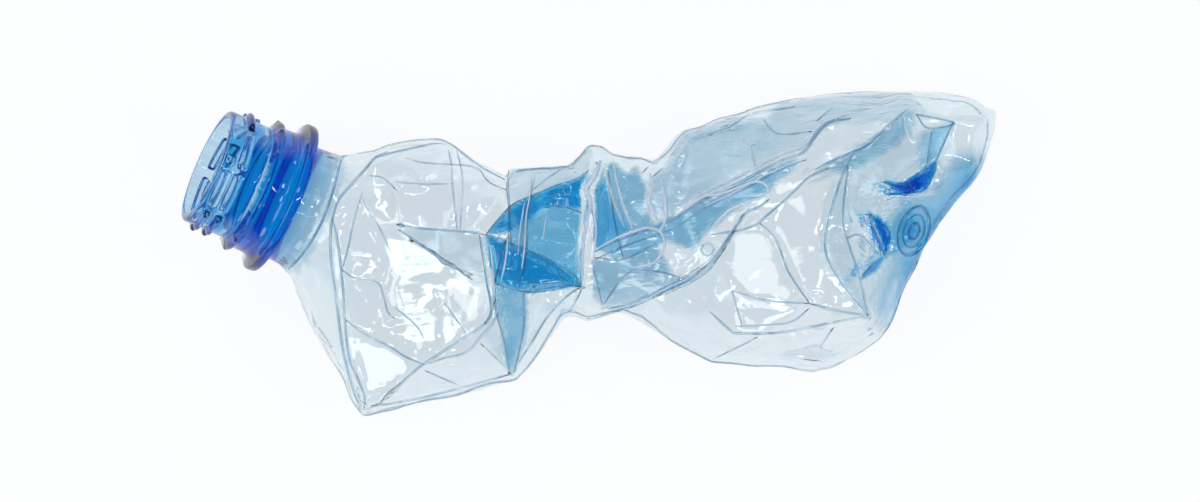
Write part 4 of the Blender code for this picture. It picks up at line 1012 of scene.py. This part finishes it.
seen = maths(tree, "MAXIMUM", rays.outputs["Is Camera Ray"], rays.outputs["Is Transmission Ray"])
seen = maths(tree, "MAXIMUM", seen, rays.outputs["Is Glossy Ray"])
blend = add_node(tree, "ShaderNodeMixShader", {
    0: maths(tree, "MULTIPLY", seen, FLOOR_GLOW), 1: matte.outputs["BSDF"], 2: glow.outputs["Emission"]})
fill(tree.nodes["Material Output"], {"Surface": blend.outputs["Shader"]})
floor.data.materials.append(paper)
print("floor, m:", FLOOR_SIZE)

# %% [markdown]
# The sky is a dim blue with a pale rim at the horizon and six bright boxes, which the folds show as crisp
# highlights. Each has a direction, the angles from it at which it is full and at which it is gone, in
# degrees, and a strength. The rim, which comes first, is full at the wider angle. The colour follows the
# brightness, from blue to white.

# %% Sky
SKY_FLOOR = 0.35
SKY_BOXES = (
    ((0.0, 0.0, 1.0), 86.0, 74.0, 0.65),
    ((-0.606, -0.107, 0.788), 15.0, 18.0, 2.1),
    ((-0.464, -0.803, 0.375), 9.0, 12.0, 3.0),
    ((-0.10, 0.05, 1.0), 4.0, 6.5, 7.0),
    ((0.35, 0.25, 0.90), 3.0, 5.0, 7.0),
    ((0.55, -0.65, 0.55), 4.0, 6.0, 6.0),
    ((0.15, 0.90, 0.35), 3.0, 5.0, 5.0),
)
SKY_TOP = 2.0
SKY_TINTS = (
    (SKY_FLOOR / SKY_TOP, (0.18, 0.48, 0.95, 1.0)),
    (0.5, (0.50, 0.76, 1.0, 1.0)),
    (0.9, (1.0, 1.0, 1.0, 1.0)),
)
world = bpy.data.worlds.new("studio")
bpy.context.scene.world = world
world.use_nodes = True
tree = world.node_tree
place = tree.nodes.new("ShaderNodeTexCoord")
brightness = SKY_FLOOR
for toward, full_at, gone_at, strength in SKY_BOXES:
    facing = tree.nodes.new("ShaderNodeVectorMath")
    facing.operation = "DOT_PRODUCT"
    fill(facing, {0: place.outputs["Generated"], 1: Vector(toward).normalized()})
    box = add_node(tree, "ShaderNodeMapRange", {
        "Value": facing.outputs["Value"], "From Min": math.cos(math.radians(gone_at)),
        "From Max": math.cos(math.radians(full_at)), "To Max": strength})
    box.interpolation_type = "SMOOTHSTEP"
    brightness = maths(tree, "ADD", box.outputs["Result"], brightness)
share = maths(tree, "MULTIPLY", brightness, 1.0 / SKY_TOP)
fill(tree.nodes["Background"], {"Color": colour_ramp(tree, share, SKY_TINTS), "Strength": brightness})
print("sky boxes:", len(SKY_BOXES))

# %% [markdown]
# Two lamps light the bottle from above, one from each side. Both are long thin bars. Each has a place, a
# width, a depth and a power.

# %% Lamps
middle = (box_low + box_high) * 0.5
LAMPS = (
    ("key", (-0.45, 0.75, 0.95), 0.90, 0.03, 1.4),
    ("fill", (0.80, -0.10, 0.90), 0.05, 0.70, 1.8),
)
for name, place, width, depth, power in LAMPS:
    lamp = bpy.data.lights.new(name, "AREA")
    lamp.shape = "RECTANGLE"
    lamp.size, lamp.size_y = width, depth
    lamp.energy = power
    stand = put_in_scene(name, lamp)
    stand.location = place
    stand.rotation_euler = (middle - Vector(place)).to_track_quat("-Z", "Y").to_euler()
print("lamps:", len(LAMPS))

# %% [markdown]
# The camera looks straight down on the lying bottle through a long lens, from far enough away that the
# neck and the base are seen at nearly the same scale. The frame is 251 mm wide at half the bottle's height.

# %% Camera
FRAME_WIDTH = 251.0
FOCAL, SENSOR = 120.0, 36.0
VIEW_AT = Vector((2.3, 0.7, 24.0)) * MM
camera = bpy.data.cameras.new("camera")
camera.lens = FOCAL
camera.sensor_width = SENSOR
camera.clip_start, camera.clip_end = 0.01, 20.0
viewer = put_in_scene("camera", camera)
viewer.location = VIEW_AT + Vector((0.0, 0.0, FRAME_WIDTH * MM * FOCAL / SENSOR))
scene = bpy.context.scene
scene.camera = viewer
scene.view_settings.view_transform = "Standard"
scene.cycles.max_bounces = 30
scene.cycles.transmission_bounces = 30
scene.cycles.glossy_bounces = 12
scene.cycles.transparent_max_bounces = 40
print("camera height, mm:", round(viewer.location.z / MM))
